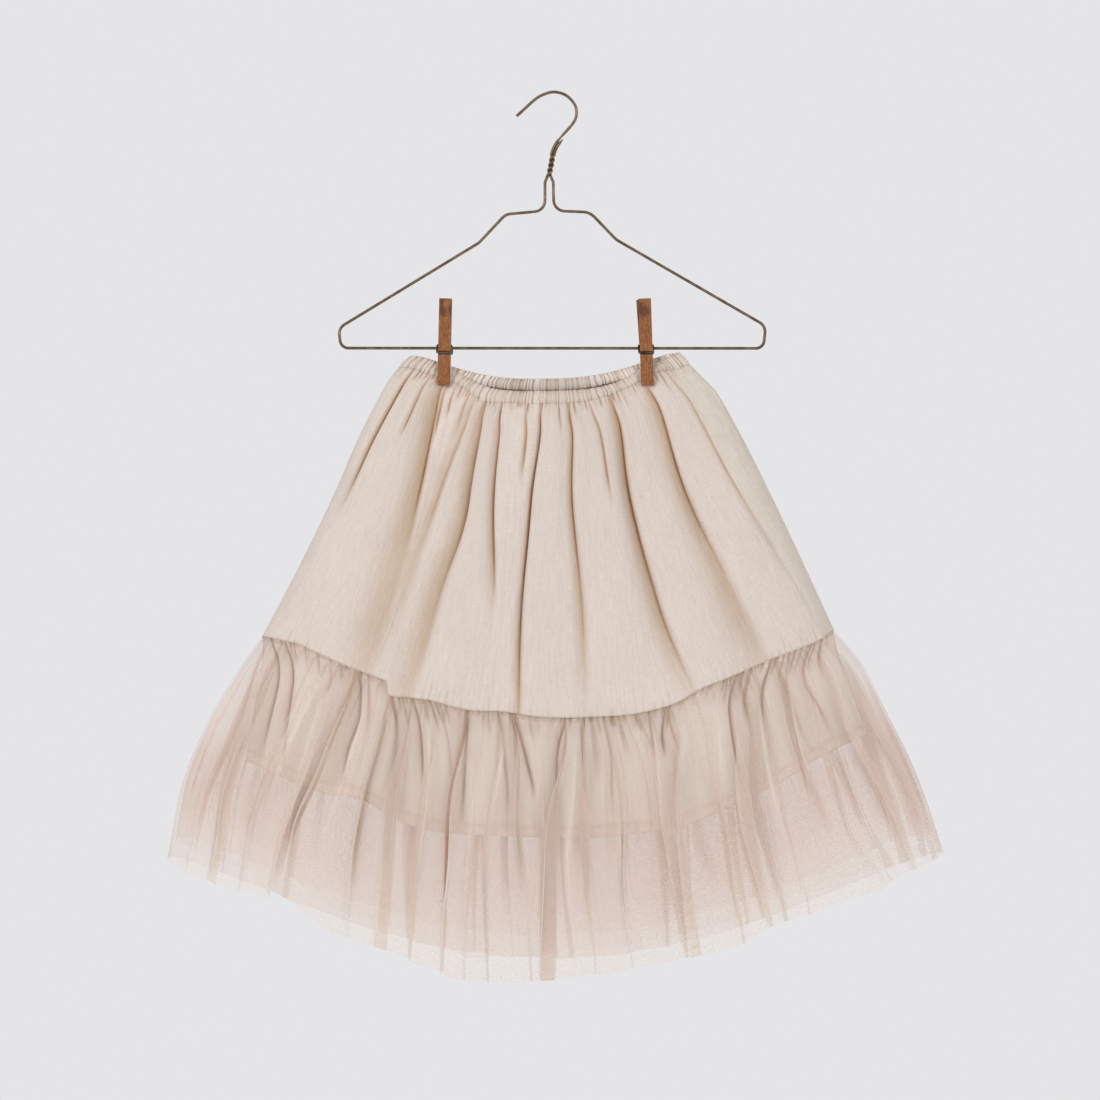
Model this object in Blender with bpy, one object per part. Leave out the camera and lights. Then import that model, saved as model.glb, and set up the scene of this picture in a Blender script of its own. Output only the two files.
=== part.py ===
"""Child's gathered linen skirt with a two-layer net flounce, pegged to a wire hanger.

The skirt is made of the panels that a maker would cut: a front and a back of
waistband, linen, lining and two nets, each a cloth wall between an outer and
an inner face. Two spring pegs, threaded on the hanger's bar, grip the waistband.

Sizes are millimetres. The origin is under the hook's crown, where the hanger
rests on what holds it, with +X to the right, +Z up and the front facing -Y.
"""

import math
from typing import NamedTuple

import bpy
import numpy as np

MM = 0.001
SEAM_GAP = 0.3
SWING_STEP = 0.002

# Cloth walls
BAND_WALL = 2.1
LINEN_WALL = 1.6
NET_WALL = 1.3
LINING_WALL = 1.4

# Gathers and folds: how far the crests stand out from the valleys
BAND_GATHERS = 42
BAND_CREST = 1.0
BAND_PUFF = 0.7
NET_WAVES = 20
NET_WAVE_DRIFT = 0.28
NET_DRIFT_TURNS = (1.7, 0.61)
INNER_NET_SPREAD = 3.0
INNER_NET_LENGTH = 0.909
LINING_COLUMNS = 28
COLUMNS_PER_FOLD = 4
FOLD_FADE_START = 0.7
FOLD_FADE_END = 1.15
SEAM_FLATTENING = 24

# Folds of the back panel, spread evenly and then moved a little
BACK_FOLDS = 12
BACK_FOLD_SPAN = 0.88
BACK_FOLD_WIDTH = 0.035
BACK_FOLD_TOP_SHIFT = 0.025
BACK_FOLD_FOOT_SHIFT = 0.035
BACK_FOLD_DEPTH = 0.75
BACK_FOLD_REACH = 0.70

# How a level hangs: the waistband in a flat-bottomed loop, the seam and hem in a round one
LOOP_FLATNESS = 3.0
LOOP_ROUNDNESS = 2.0
HEM_FLATNESS = 2.0
HEM_ROUNDNESS = 1.3

# Where the pegs pinch the two bands together
PINCH_DEPTH = 2.5
PINCH_SPAN = 0.60
PINCH_END_ROUNDING = 20
PINCH_BULGE_POWER = 1.5
PINCH_HOLD_FADE = 10.0
PEG_CLEAR_NEAR = 13.0
PEG_CLEAR_FAR = 21.0

# Hanger wire
WIRE_DIAMETER = 2.5
STRAND_OFFSET = (WIRE_DIAMETER + SEAM_GAP) / 2
TWIST_HALF_TURNS = 4
TWIST_STEPS = 4
BAR_HEIGHT = -215.0

# Clothes pegs, measured from the middle of the spring's coil
PEG_WIDTH = 10.6
PEG_TOP = 42.3
PEG_BOTTOM = -31.0
JAW_INNER = 2.8
JAW_OUTER = 6.8
JAW_TOP = -9.3
LEVER_WAIST_INNER = 0.4
LEVER_WAIST_OUTER = 8.5
LEVER_WAIST_BOTTOM = -5.1
LEVER_WAIST_TOP = 14.0
HANDLE_INNER = 3.8
HANDLE_OUTER = 7.6
COIL_NOTCH_RADIUS = 4.5
COIL_NOTCH_STEPS = 8
SPRING_WIRE = 1.5
COIL_RADIUS = 3.25
COIL_TURNS = 5
COIL_STEPS = 9
CROSS_WIRE_HEIGHT = -3.6
CROSS_WIRE_MARGIN = 1.0
CROSS_WIRE_BEND = 0.8
CROSS_GROOVE_RADIUS = 1.1
CROSS_GROOVE_STEPS = 6
COIL_BELOW_BAR = 0.7


class Level(NamedTuple):
    """One level of a layer: its side seams, depths and how far its middle hangs down."""

    side: float
    left: float
    right: float
    front: float
    back: float
    front_drop: float
    back_drop: float
    lean: float
    spread: float
    crest: float


class Fold(NamedTuple):
    """A fold's valley, across the panel from -1 to 1, and how deep, wide and long it is."""

    top: float
    foot: float
    depth: float
    width: float
    reach: float


class Peg(NamedTuple):
    """A clothes peg: where it sits on the bar, its tilt and its back lever's skew."""

    name: str
    x: float
    tilt: float
    skew: float


#               side    left   right  front  back  f_drop b_drop lean spread crest
WAISTBAND = (
    Level(-221.3, -121.5, 108.5, 20.0, 7.0, 30.8, 20.0, 3.0, 0.0, BAND_CREST),
    Level(-225.6, -127.0, 113.0, 21.2, 7.6, 31.2, 20.5, 3.0, 0.0, BAND_CREST),
    Level(-230.0, -130.0, 116.0, 22.0, 8.0, 31.5, 21.0, 3.0, 0.0, BAND_CREST),
)
LINEN = (
    Level(-230.3, -130.0, 116.0, 22.0, 8.0, 31.5, 21.0, 3.0, 0.00, 1.0),
    Level(-241.0, -138.5, 126.5, 23.0, 9.0, 33.0, 23.0, 3.0, 0.00, 2.0),
    Level(-252.0, -144.7, 137.2, 25.0, 10.0, 35.5, 25.5, 3.0, 0.10, 3.5),
    Level(-284.0, -161.6, 155.7, 29.0, 13.0, 43.0, 33.0, 4.0, 0.45, 6.0),
    Level(-334.0, -183.6, 181.0, 33.0, 16.0, 52.0, 42.0, 4.5, 0.85, 7.0),
    Level(-392.0, -211.5, 208.5, 37.0, 18.5, 61.0, 51.0, 5.0, 1.00, 6.0),
    Level(-456.0, -245.0, 237.5, 40.0, 20.0, 70.0, 59.0, 6.0, 1.00, 3.0),
)
NET = (
    Level(-456.5, -245.0, 237.5, 40.0, 20.0, 70.0, 59.0, 6.0, 1.0, 1.0),
    Level(-484.5, -265.5, 262.0, 41.5, 20.5, 75.0, 64.0, 5.5, 1.0, 3.0),
    Level(-531.0, -292.0, 284.5, 44.0, 22.0, 82.0, 71.0, 5.0, 1.0, 6.0),
    Level(-587.0, -313.0, 308.0, 47.0, 23.5, 92.0, 81.0, 4.0, 1.0, 9.0),
    Level(-643.0, -323.5, 327.0, 50.0, 25.0, 102.0, 91.0, 3.5, 1.0, 12.0),
)
LINING = (
    Level(-456.5, -241.8, 234.3, 36.8, 16.8, 70.0, 59.0, 6.0, 1.0, 0.0),
    Level(-506.0, -250.5, 250.0, 38.5, 17.2, 72.0, 61.0, 13.0, 1.0, 0.0),
    Level(-552.0, -259.0, 265.0, 40.0, 17.5, 76.0, 65.0, 22.0, 1.0, 0.0),
)

#         top    foot   depth  width  reach
FRONT_FOLDS = (
    Fold(-0.90, -0.95, 0.90, 0.035, 0.65),
    Fold(-0.81, -0.84, 0.60, 0.025, 0.20),
    Fold(-0.69, -0.62, 0.75, 0.070, 1.00),
    Fold(-0.61, -0.56, 0.60, 0.025, 0.22),
    Fold(-0.45, -0.49, 0.70, 0.050, 1.00),
    Fold(-0.36, -0.43, 1.00, 0.030, 0.80),
    Fold(-0.245, -0.27, 0.70, 0.030, 0.50),
    Fold(-0.125, -0.16, 0.50, 0.025, 0.22),
    Fold(-0.02, -0.12, 1.00, 0.030, 0.85),
    Fold(0.15, 0.13, 0.65, 0.060, 1.00),
    Fold(0.33, 0.32, 0.60, 0.030, 0.38),
    Fold(0.45, 0.38, 0.95, 0.055, 1.00),
    Fold(0.69, 0.74, 0.95, 0.035, 0.92),
    Fold(0.89, 0.91, 0.80, 0.030, 0.95),
)

PEGS = (
    Peg("peg_left", -91.0, 1.25, 0.0),
    Peg("peg_right", 79.0, -1.9, -2.0),
)

# The hook's centre line from its tip to the neck, (x, z)
HOOK_KNOTS = (
    (-30.4, -19.0),
    (-27.4, -16.5),
    (-14.5, -4.9),
    (-6.0, -0.3),
    (1.9, 1.25),
    (11.3, -1.5),
    (18.2, -8.4),
    (20.3, -15.6),
    (18.0, -24.2),
    (6.8, -37.2),
    (2.6, -42.6),
    (0.2, -47.4),
    (-0.9, -51.2),
)
TAIL_FIRST_KNOT = 9
TWIST_TOP = (0.4, -51.5)
TWIST_FOOT = (-2.8, -69.5)

# Bends of the hanger's frame from the left neck to the right neck, (x, z, radius)
FRAME_BENDS = (
    (-6.3, -74.2, 4.0),
    (-6.3, -99.0, 9.5),
    (-39.5, -102.0, 11.0),
    (-62.0, -126.0, 16.0),
    (-180.5, -198.0, 9.0),
    (-178.5, -214.9, 7.0),
    (178.0, -215.1, 7.0),
    (180.0, -196.2, 9.0),
    (54.0, -123.5, 16.0),
    (31.5, -100.2, 14.0),
    (1.2, -99.0, 9.5),
    (0.7, -74.2, 4.0),
)
BEND_STEPS = 4


def clear_scene():
    """Remove every object that the scene starts with."""
    for obj in list(bpy.data.objects):
        bpy.data.objects.remove(obj, do_unlink=True)


def linear(red, green, blue):
    """Turn an sRGB colour of 0 to 255 into Blender's linear one."""
    channels = []
    for value in (red, green, blue):
        share = value / 255
        channels.append(share / 12.92 if share <= 0.04045 else ((share + 0.055) / 1.055) ** 2.4)
    return (*channels, 1.0)


def make_material(name, colour, roughness, metallic=0.0):
    """Make a Principled material with one colour."""
    material = bpy.data.materials.new(name)
    material.use_nodes = True
    shader = material.node_tree.nodes["Principled BSDF"]
    shader.inputs["Base Color"].default_value = colour
    shader.inputs["Roughness"].default_value = roughness
    shader.inputs["Metallic"].default_value = metallic
    return material


def smooth_step(low, high, value):
    """Rise softly from 0 at low to 1 at high."""
    share = np.clip((value - low) / (high - low), 0.0, 1.0)
    return share * share * (3 - 2 * share)


def level_share(levels, level):
    """Say how far down its layer a level is, from 0 to 1."""
    return (levels[0].side - level.side) / (levels[0].side - levels[-1].side)


def sag(across, spread):
    """Shape of a level's hang: 1 in mid panel, 0 at the side seams."""
    flatness = LOOP_FLATNESS + (HEM_FLATNESS - LOOP_FLATNESS) * spread
    roundness = LOOP_ROUNDNESS + (HEM_ROUNDNESS - LOOP_ROUNDNESS) * spread
    return (1 - np.abs(across) ** flatness) ** roundness


def ring(level, swing, side, inset):
    """Points along one level's base line, where the valleys of the folds lie.

    swing is the angle round the oval, from -90 degrees at the left side seam
    to 90 at the right one, and inset is how far inside the outer layer it lies.
    """
    across = np.sin(swing)
    middle = (level.left + level.right) / 2
    half_width = (level.right - level.left) / 2 - inset
    depth = (level.front if side == "front" else level.back) - inset
    pinched = PINCH_DEPTH - inset
    ends = np.sqrt(1 - across ** PINCH_END_ROUNDING)
    bulge = np.clip(1 - (across / PINCH_SPAN) ** 2, 0, None) ** PINCH_BULGE_POWER
    held_flat = pinched * ends + (depth - pinched) * bulge
    oval = depth * np.cos(swing)
    out = level.spread * oval + (1 - level.spread) * held_flat + SEAM_GAP / 2
    drop = level.front_drop if side == "front" else level.back_drop
    x = middle + half_width * across
    y = -out if side == "front" else out
    z = level.side + level.lean * across / 2 - drop * sag(across, level.spread)
    return np.stack([x, y, z], axis=-1)


def ring_normals(level, swing, side, inset):
    """Level outward directions along the base line."""
    ahead = ring(level, np.clip(swing + SWING_STEP, -math.pi / 2, math.pi / 2), side, inset)
    behind = ring(level, np.clip(swing - SWING_STEP, -math.pi / 2, math.pi / 2), side, inset)
    along = ahead - behind
    turned = np.stack([along[:, 1], -along[:, 0], np.zeros(len(swing))], axis=-1)
    if side == "back":
        turned = -turned
    turned /= np.linalg.norm(turned, axis=1)[:, None]
    turned[0] = (-1, 0, 0)
    turned[-1] = (1, 0, 0)
    return turned


def peg_clearance(x, spread):
    """Flatten the gathers where a peg grips them, from 0 under a jaw to 1 clear of it."""
    hold = max(0.0, 1.0 - PINCH_HOLD_FADE * spread)
    free = np.ones_like(x)
    for peg in PEGS:
        free = np.minimum(free, smooth_step(PEG_CLEAR_NEAR, PEG_CLEAR_FAR, np.abs(x - peg.x)))
    return 1 - hold * (1 - free)


def swing_at_arc(level, side, shares):
    """Angles round a level's oval at even shares, 0 to 1, of its length."""
    fine = np.linspace(-math.pi / 2, math.pi / 2, 721)
    points = ring(level, fine, side, 0.0)[:, :2]
    lengths = np.concatenate([[0], np.cumsum(np.linalg.norm(np.diff(points, axis=0), axis=1))])
    return np.interp(shares, lengths / lengths[-1], fine)


def zigzag_columns(levels, side, count):
    """Columns of a gathered band: a crest and a valley for each gather."""
    shares = np.linspace(0, 1, 2 * count + 1)
    rows = []
    for level in levels:
        rows.append(swing_at_arc(level, side, shares))
    crests = np.arange(2 * count + 1) % 2
    return np.array(rows), crests.astype(float)


def wave_columns(levels, side, count):
    """Columns of a ruffle: four for each wave, whose widths drift along the cloth."""
    phase = np.arange(4 * count + 1) / 4
    even = phase / count
    quick, slow = NET_DRIFT_TURNS
    drift = NET_WAVE_DRIFT / count * (np.sin(phase * quick) + np.sin(phase * slow + 0.8))
    shares = np.clip(even + drift * np.sin(math.pi * even), 0, 1)
    rows = []
    for level in levels:
        rows.append(swing_at_arc(level, side, shares))
    crests = 0.5 - 0.5 * np.cos(2 * math.pi * phase)
    return np.array(rows), crests


def fold_columns(levels, folds):
    """Columns of a folded panel: one down each valley and three between two valleys."""
    tops = np.array([-1.0] + [fold.top for fold in folds] + [1.0])
    feet = np.array([-1.0] + [fold.foot for fold in folds] + [1.0])
    places = np.linspace(0, len(tops) - 1, COLUMNS_PER_FOLD * (len(tops) - 1) + 1)
    index = np.arange(len(tops))
    rows = []
    for level in levels:
        share = level_share(levels, level)
        across = (1 - share) * np.interp(places, index, tops) + share * np.interp(places, index, feet)
        rows.append(np.arcsin(np.clip(across, -1, 1)))
    return np.array(rows)


def fold_heights(levels, swings, folds):
    """How high each point of a folded panel stands, from 0 in a valley to 1 on a crest."""
    rows = []
    for level, swing in zip(levels, swings):
        share = level_share(levels, level)
        across = np.sin(swing)
        trough = np.zeros_like(across)
        for fold in folds:
            middle = (1 - share) * fold.top + share * fold.foot
            length = 1 - smooth_step(FOLD_FADE_START * fold.reach, FOLD_FADE_END * fold.reach, share)
            bell = np.exp(-((across - middle) / fold.width) ** 2)
            trough = np.maximum(trough, fold.depth * length * bell)
        rows.append((1 - trough) * (1 - np.abs(across) ** SEAM_FLATTENING))
    return np.array(rows)


def back_folds():
    """Folds of the back panel, like the front's, spread across it."""
    folds = []
    for index in range(BACK_FOLDS):
        even = BACK_FOLD_SPAN * (2 * index / (BACK_FOLDS - 1) - 1)
        top = even + BACK_FOLD_TOP_SHIFT * math.sin(2.3 * index)
        foot = even + BACK_FOLD_FOOT_SHIFT * math.sin(1.1 * index + 0.6)
        depth = BACK_FOLD_DEPTH + (1 - BACK_FOLD_DEPTH) * math.sin(1.9 * index + 1.0)
        reach = BACK_FOLD_REACH + (1 - BACK_FOLD_REACH) * math.sin(2.7 * index)
        folds.append(Fold(top, foot, depth, BACK_FOLD_WIDTH, reach))
    return folds


def faces_of_wall(rows, columns):
    """Triangles of a closed wall whose outer points come before its inner ones."""
    count = rows * columns
    faces = []

    def quad(a, b, c, d):
        faces.append((a, b, c))
        faces.append((a, c, d))

    for row in range(rows - 1):
        for column in range(columns - 1):
            here = row * columns + column
            below = here + columns
            quad(here, below, below + 1, here + 1)
            quad(count + here, count + here + 1, count + below + 1, count + below)
    last = (rows - 1) * columns
    for column in range(columns - 1):
        quad(column, column + 1, count + column + 1, count + column)
        quad(last + column, count + last + column, count + last + column + 1, last + column + 1)
    for row in range(rows - 1):
        left = row * columns
        right = left + columns - 1
        quad(left, count + left, count + left + columns, left + columns)
        quad(right, right + columns, count + right + columns, count + right)
    return faces


def signed_volume(points, faces):
    """Volume inside the faces, negative where they point inwards."""
    corners = points[np.array(faces)]
    return np.einsum("ij,ij->i", corners[:, 0], np.cross(corners[:, 1], corners[:, 2])).sum() / 6


def cloth_wall(name, outer, inner, material, collection):
    """Make a closed cloth wall between two grids of points."""
    rows, columns = outer.shape[:2]
    points = np.concatenate([outer.reshape(-1, 3), inner.reshape(-1, 3)]) * MM
    faces = faces_of_wall(rows, columns)
    if signed_volume(points, faces) < 0:
        faces = [face[::-1] for face in faces]
    mesh = bpy.data.meshes.new(name)
    mesh.from_pydata(points.tolist(), [], faces)
    mesh.materials.append(material)
    mesh.shade_smooth()
    mesh.set_sharp_from_angle(angle=math.radians(50))
    collection.objects.link(bpy.data.objects.new(name, mesh))


def panel(name, levels, side, columns, heights, insets, wall, material, collection, puffs=None):
    """Make one panel from its levels.

    columns and heights hold an angle and a fold height for each point, insets
    say how far each level lies inside the outermost layer, and puffs how far
    a level swells outwards.
    """
    outer = []
    inner = []
    puffs = puffs or [0.0] * len(levels)
    for level, swing, height, inset, puff in zip(levels, columns, heights, insets, puffs):
        base = ring(level, swing, side, inset)
        free = peg_clearance(base[:, 0], level.spread)
        push = (level.crest * height + puff) * free
        push[0] = 0.0
        push[-1] = 0.0
        shift = ring_normals(level, swing, side, 0.0) * push[:, None]
        outer.append(base + shift)
        inner.append(ring(level, swing, side, inset + wall) + shift)
    cloth_wall(name, np.array(outer), np.array(inner), material, collection)


def build_waistband(material, collection):
    """Front and back of the elastic waistband, drawn into small gathers."""
    for side in ("front", "back"):
        columns, crests = zigzag_columns(WAISTBAND, side, BAND_GATHERS)
        heights = [crests] * len(WAISTBAND)
        insets = [0.0] * len(WAISTBAND)
        puffs = (0.0, BAND_PUFF, 0.0)
        panel(f"waistband_{side}", WAISTBAND, side, columns, heights, insets, BAND_WALL,
              material, collection, puffs)


def build_linen(material, collection):
    """Front and back linen panels, with the folds that fall from the gathers."""
    for side, folds in (("front", FRONT_FOLDS), ("back", back_folds())):
        columns = fold_columns(LINEN, folds)
        heights = fold_heights(LINEN, columns, folds)
        insets = [0.0] * len(LINEN)
        panel(f"skirt_{side}", LINEN, side, columns, heights, insets, LINEN_WALL, material, collection)


def build_lining(material, collection):
    """Front and back of the short lining tier behind the nets."""
    for side in ("front", "back"):
        shares = np.linspace(0, 1, LINING_COLUMNS + 1)
        columns = np.array([swing_at_arc(level, side, shares) for level in LINING])
        heights = np.zeros_like(columns)
        insets = [0.0] * len(LINING)
        panel(f"lining_{side}", LINING, side, columns, heights, insets, LINING_WALL, material, collection)


def shorter(levels, share):
    """End a layer early, at a share of its length."""
    last, foot = levels[-2:]
    before = level_share(levels, last)
    part = (share - before) / (1 - before)
    cut = Level(*[(1 - part) * a + part * b for a, b in zip(last, foot)])
    return levels[:-1] + (cut,)


def build_net(outer_material, inner_material, collection):
    """Outer and inner net flounces, gathered into the same waves."""
    inner_levels = shorter(NET, INNER_NET_LENGTH)
    for side in ("front", "back"):
        columns, crests = wave_columns(NET, side, NET_WAVES)
        heights = [crests] * len(NET)
        panel(f"flounce_outer_{side}", NET, side, columns, heights, [0.0] * len(NET), NET_WALL,
              outer_material, collection)
        columns, crests = wave_columns(inner_levels, side, NET_WAVES)
        insets = []
        for level in inner_levels:
            insets.append(NET_WALL + SEAM_GAP + INNER_NET_SPREAD * level_share(NET, level))
        panel(f"flounce_inner_{side}", inner_levels, side, columns, heights, insets, NET_WALL,
              inner_material, collection)


def smooth_path(knots, steps):
    """Points of a smooth curve through the knots."""
    knots = [np.array(knot, dtype=float) for knot in knots]
    padded = [2 * knots[0] - knots[1]] + knots + [2 * knots[-1] - knots[-2]]
    points = []
    for index in range(1, len(padded) - 2):
        before, start, end, after = padded[index - 1:index + 3]
        for step in range(steps):
            t = step / steps
            points.append(0.5 * (2 * start + (end - before) * t
                                 + (2 * before - 5 * start + 4 * end - after) * t ** 2
                                 + (3 * start - before - 3 * end + after) * t ** 3))
    points.append(knots[-1])
    return points


def rounded_path(start, bends, end, steps):
    """Points of a bent wire: straight runs joined by arcs of the bends' radii."""
    places = [np.array(start, dtype=float)]
    places += [np.array(bend[:2], dtype=float) for bend in bends]
    places.append(np.array(end, dtype=float))
    points = []
    for before, corner, after, bend in zip(places, places[1:], places[2:], bends):
        back = (before - corner) / np.linalg.norm(before - corner)
        on = (after - corner) / np.linalg.norm(after - corner)
        half_angle = math.acos(float(np.clip(back @ on, -1, 1))) / 2
        reach = bend[2] / math.tan(half_angle)
        middle = corner + (back + on) / np.linalg.norm(back + on) * bend[2] / math.sin(half_angle)
        first = corner + back * reach - middle
        last = corner + on * reach - middle
        sweep = math.pi - 2 * half_angle
        for step in range(steps + 1):
            t = step / steps
            share = (math.sin((1 - t) * sweep) * first + math.sin(t * sweep) * last) / math.sin(sweep)
            points.append(middle + share)
    return points


def twist_path(turn_start):
    """One strand of the neck's twist, from its foot up, as (x, y, z) points."""
    foot = np.array(TWIST_FOOT)
    top = np.array(TWIST_TOP)
    axis = (top - foot) / np.linalg.norm(top - foot)
    sideways = np.array([axis[1], -axis[0]])
    points = []
    steps = TWIST_HALF_TURNS * TWIST_STEPS
    for step in range(steps + 1):
        turn = turn_start + math.pi * step / TWIST_STEPS
        place = foot + (top - foot) * step / steps + sideways * STRAND_OFFSET * math.cos(turn)
        points.append((place[0], STRAND_OFFSET * math.sin(turn), place[1]))
    return points


def wire(name, points, diameter, material, collection, parent=None):
    """Make a round wire along a line of points."""
    curve = bpy.data.curves.new(name, "CURVE")
    curve.dimensions = "3D"
    curve.bevel_depth = diameter / 2 * MM
    curve.bevel_resolution = 2
    curve.use_fill_caps = True
    spline = curve.splines.new("POLY")
    spline.points.add(len(points) - 1)
    for point, place in zip(spline.points, points):
        point.co = (place[0] * MM, place[1] * MM, place[2] * MM, 1.0)
    curve.materials.append(material)
    obj = bpy.data.objects.new(name, curve)
    obj.parent = parent
    collection.objects.link(obj)
    return obj


def build_hanger(material, collection):
    """Wire hanger, one wire from the hook's tip round the frame and back up the twist."""
    hook = smooth_path(HOOK_KNOTS, 3)
    tail_start = TAIL_FIRST_KNOT * 3
    tail = []
    for here, ahead in zip(hook[tail_start:-1], hook[tail_start + 1:]):
        along = (ahead - here) / np.linalg.norm(ahead - here)
        tail.append(here + 2 * STRAND_OFFSET * np.array([-along[1], along[0]]))
    left_strand = twist_path(math.pi)
    right_strand = twist_path(0.0)
    frame = rounded_path(TWIST_FOOT, FRAME_BENDS, TWIST_FOOT, BEND_STEPS)
    points = [(x, 0.0, z) for x, z in hook[:-1]]
    points += left_strand[::-1]
    points += [(x, 0.0, z) for x, z in frame]
    points += right_strand
    points += [(x, 0.0, z) for x, z in tail[::-1]]
    wire("hanger", points, WIRE_DIAMETER, material, collection)


def lever_outline():
    """Side view of a peg's lever, as distances out from the peg's middle and up."""
    notch_angle = math.asin(LEVER_WAIST_INNER / COIL_NOTCH_RADIUS)
    notch = []
    for step in range(COIL_NOTCH_STEPS + 1):
        angle = -math.pi / 2 + notch_angle + (math.pi - 2 * notch_angle) * step / COIL_NOTCH_STEPS
        notch.append((COIL_NOTCH_RADIUS * math.cos(angle), COIL_NOTCH_RADIUS * math.sin(angle)))
    groove = []
    for step in range(CROSS_GROOVE_STEPS + 1):
        angle = math.pi / 2 + math.pi * step / CROSS_GROOVE_STEPS
        groove.append((LEVER_WAIST_OUTER + CROSS_GROOVE_RADIUS * math.cos(angle),
                       CROSS_WIRE_HEIGHT + CROSS_GROOVE_RADIUS * math.sin(angle)))
    inner = [(JAW_INNER, PEG_BOTTOM), (JAW_INNER, JAW_TOP), (LEVER_WAIST_INNER, LEVER_WAIST_BOTTOM)]
    handle = [(HANDLE_INNER, PEG_TOP), (HANDLE_OUTER, PEG_TOP), (LEVER_WAIST_OUTER, LEVER_WAIST_TOP)]
    return inner + notch + handle + groove + [(JAW_OUTER, PEG_BOTTOM)]


def lever(name, side, material, collection, parent):
    """One wooden lever, extruded across the peg's width."""
    sign = -1 if side == "front" else 1
    outline = [(sign * out, up) for out, up in lever_outline()]
    curve = bpy.data.curves.new(name, "CURVE")
    curve.dimensions = "2D"
    curve.fill_mode = "BOTH"
    curve.extrude = PEG_WIDTH / 2 * MM
    spline = curve.splines.new("POLY")
    spline.points.add(len(outline) - 1)
    spline.use_cyclic_u = True
    for point, (out, up) in zip(spline.points, outline):
        point.co = (out * MM, up * MM, 0.0, 1.0)
    curve.materials.append(material)
    obj = bpy.data.objects.new(name, curve)
    obj.parent = parent
    obj.rotation_euler = (math.pi / 2, 0.0, math.pi / 2)
    collection.objects.link(obj)
    return obj


def spring_points():
    """Line of a peg's spring: front cross wire, leg, coil, leg and back cross wire."""
    end_x = PEG_WIDTH / 2 + SEAM_GAP + SPRING_WIRE / 2
    cross_far = PEG_WIDTH / 2 - CROSS_WIRE_MARGIN
    cross_out = LEVER_WAIST_OUTER
    aim = math.atan2(CROSS_WIRE_HEIGHT, -cross_out) % (2 * math.pi)
    touch = aim - math.acos(COIL_RADIUS / math.hypot(cross_out, CROSS_WIRE_HEIGHT))
    mirrored = math.pi - touch
    total = touch - mirrored + 2 * math.pi * COIL_TURNS
    steps = COIL_TURNS * COIL_STEPS + 2
    front = [(cross_far, -cross_out, CROSS_WIRE_HEIGHT),
             (-end_x + CROSS_WIRE_BEND, -cross_out, CROSS_WIRE_HEIGHT),
             (-end_x, -cross_out + CROSS_WIRE_BEND, CROSS_WIRE_HEIGHT + CROSS_WIRE_BEND)]
    coil = []
    for step in range(steps + 1):
        angle = touch - total * step / steps
        x = -end_x + 2 * end_x * step / steps
        coil.append((x, COIL_RADIUS * math.cos(angle), COIL_RADIUS * math.sin(angle)))
    back = [(-x, -y, z) for x, y, z in front[::-1]]
    return front + coil + back


def build_pegs(wood, steel, collection):
    """Two spring pegs, threaded on the hanger's bar through their coils."""
    for peg in PEGS:
        pivot = bpy.data.objects.new(peg.name, None)
        pivot.location = (peg.x * MM, 0.0, (BAR_HEIGHT - COIL_BELOW_BAR) * MM)
        pivot.rotation_euler = (0.0, math.radians(peg.tilt), 0.0)
        collection.objects.link(pivot)
        lever(f"{peg.name}_lever_front", "front", wood, collection, pivot)
        back = lever(f"{peg.name}_lever_back", "back", wood, collection, pivot)
        back.rotation_euler = (math.pi / 2 + math.radians(peg.skew), 0.0, math.pi / 2)
        wire(f"{peg.name}_spring", spring_points(), SPRING_WIRE, steel, collection, pivot)


def main():
    """Build the skirt, its hanger and its pegs."""
    clear_scene()
    collection = bpy.data.collections.new("pegged_net_skirt")
    bpy.context.scene.collection.children.link(collection)
    linen = make_material("linen", linear(215, 202, 193), 0.9)
    band = make_material("waistband_linen", linear(210, 196, 185), 0.9)
    lining = make_material("lining_cotton", linear(216, 203, 192), 0.9)
    ivory = make_material("ivory_net", linear(222, 212, 200), 0.8)
    pink = make_material("blush_net", linear(208, 186, 174), 0.8)
    bronze = make_material("bronze_wire", linear(104, 84, 60), 0.4, 0.9)
    wood = make_material("stained_wood", linear(139, 90, 61), 0.6)
    steel = make_material("spring_steel", linear(120, 115, 108), 0.35, 1.0)
    build_waistband(band, collection)
    build_linen(linen, collection)
    build_lining(lining, collection)
    build_net(ivory, pink, collection)
    build_hanger(bronze, collection)
    build_pegs(wood, steel, collection)


if __name__ == "__main__":
    main()
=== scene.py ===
"""Looks of a child's linen skirt with a two-layer net flounce, pegged to a wire hanger.

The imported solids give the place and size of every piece. The cloth is worked out
again from the same levels, finely enough for its gathers, folds and laps, and the
wire, pegs and springs get rounder forms and their own finishes.

Lengths in the tables are millimetres, and meshes are made in metres.
"""

import logging
import math
from dataclasses import astuple, dataclass, field, fields
from enum import Enum
from typing import Optional, Sequence, Union

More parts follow.
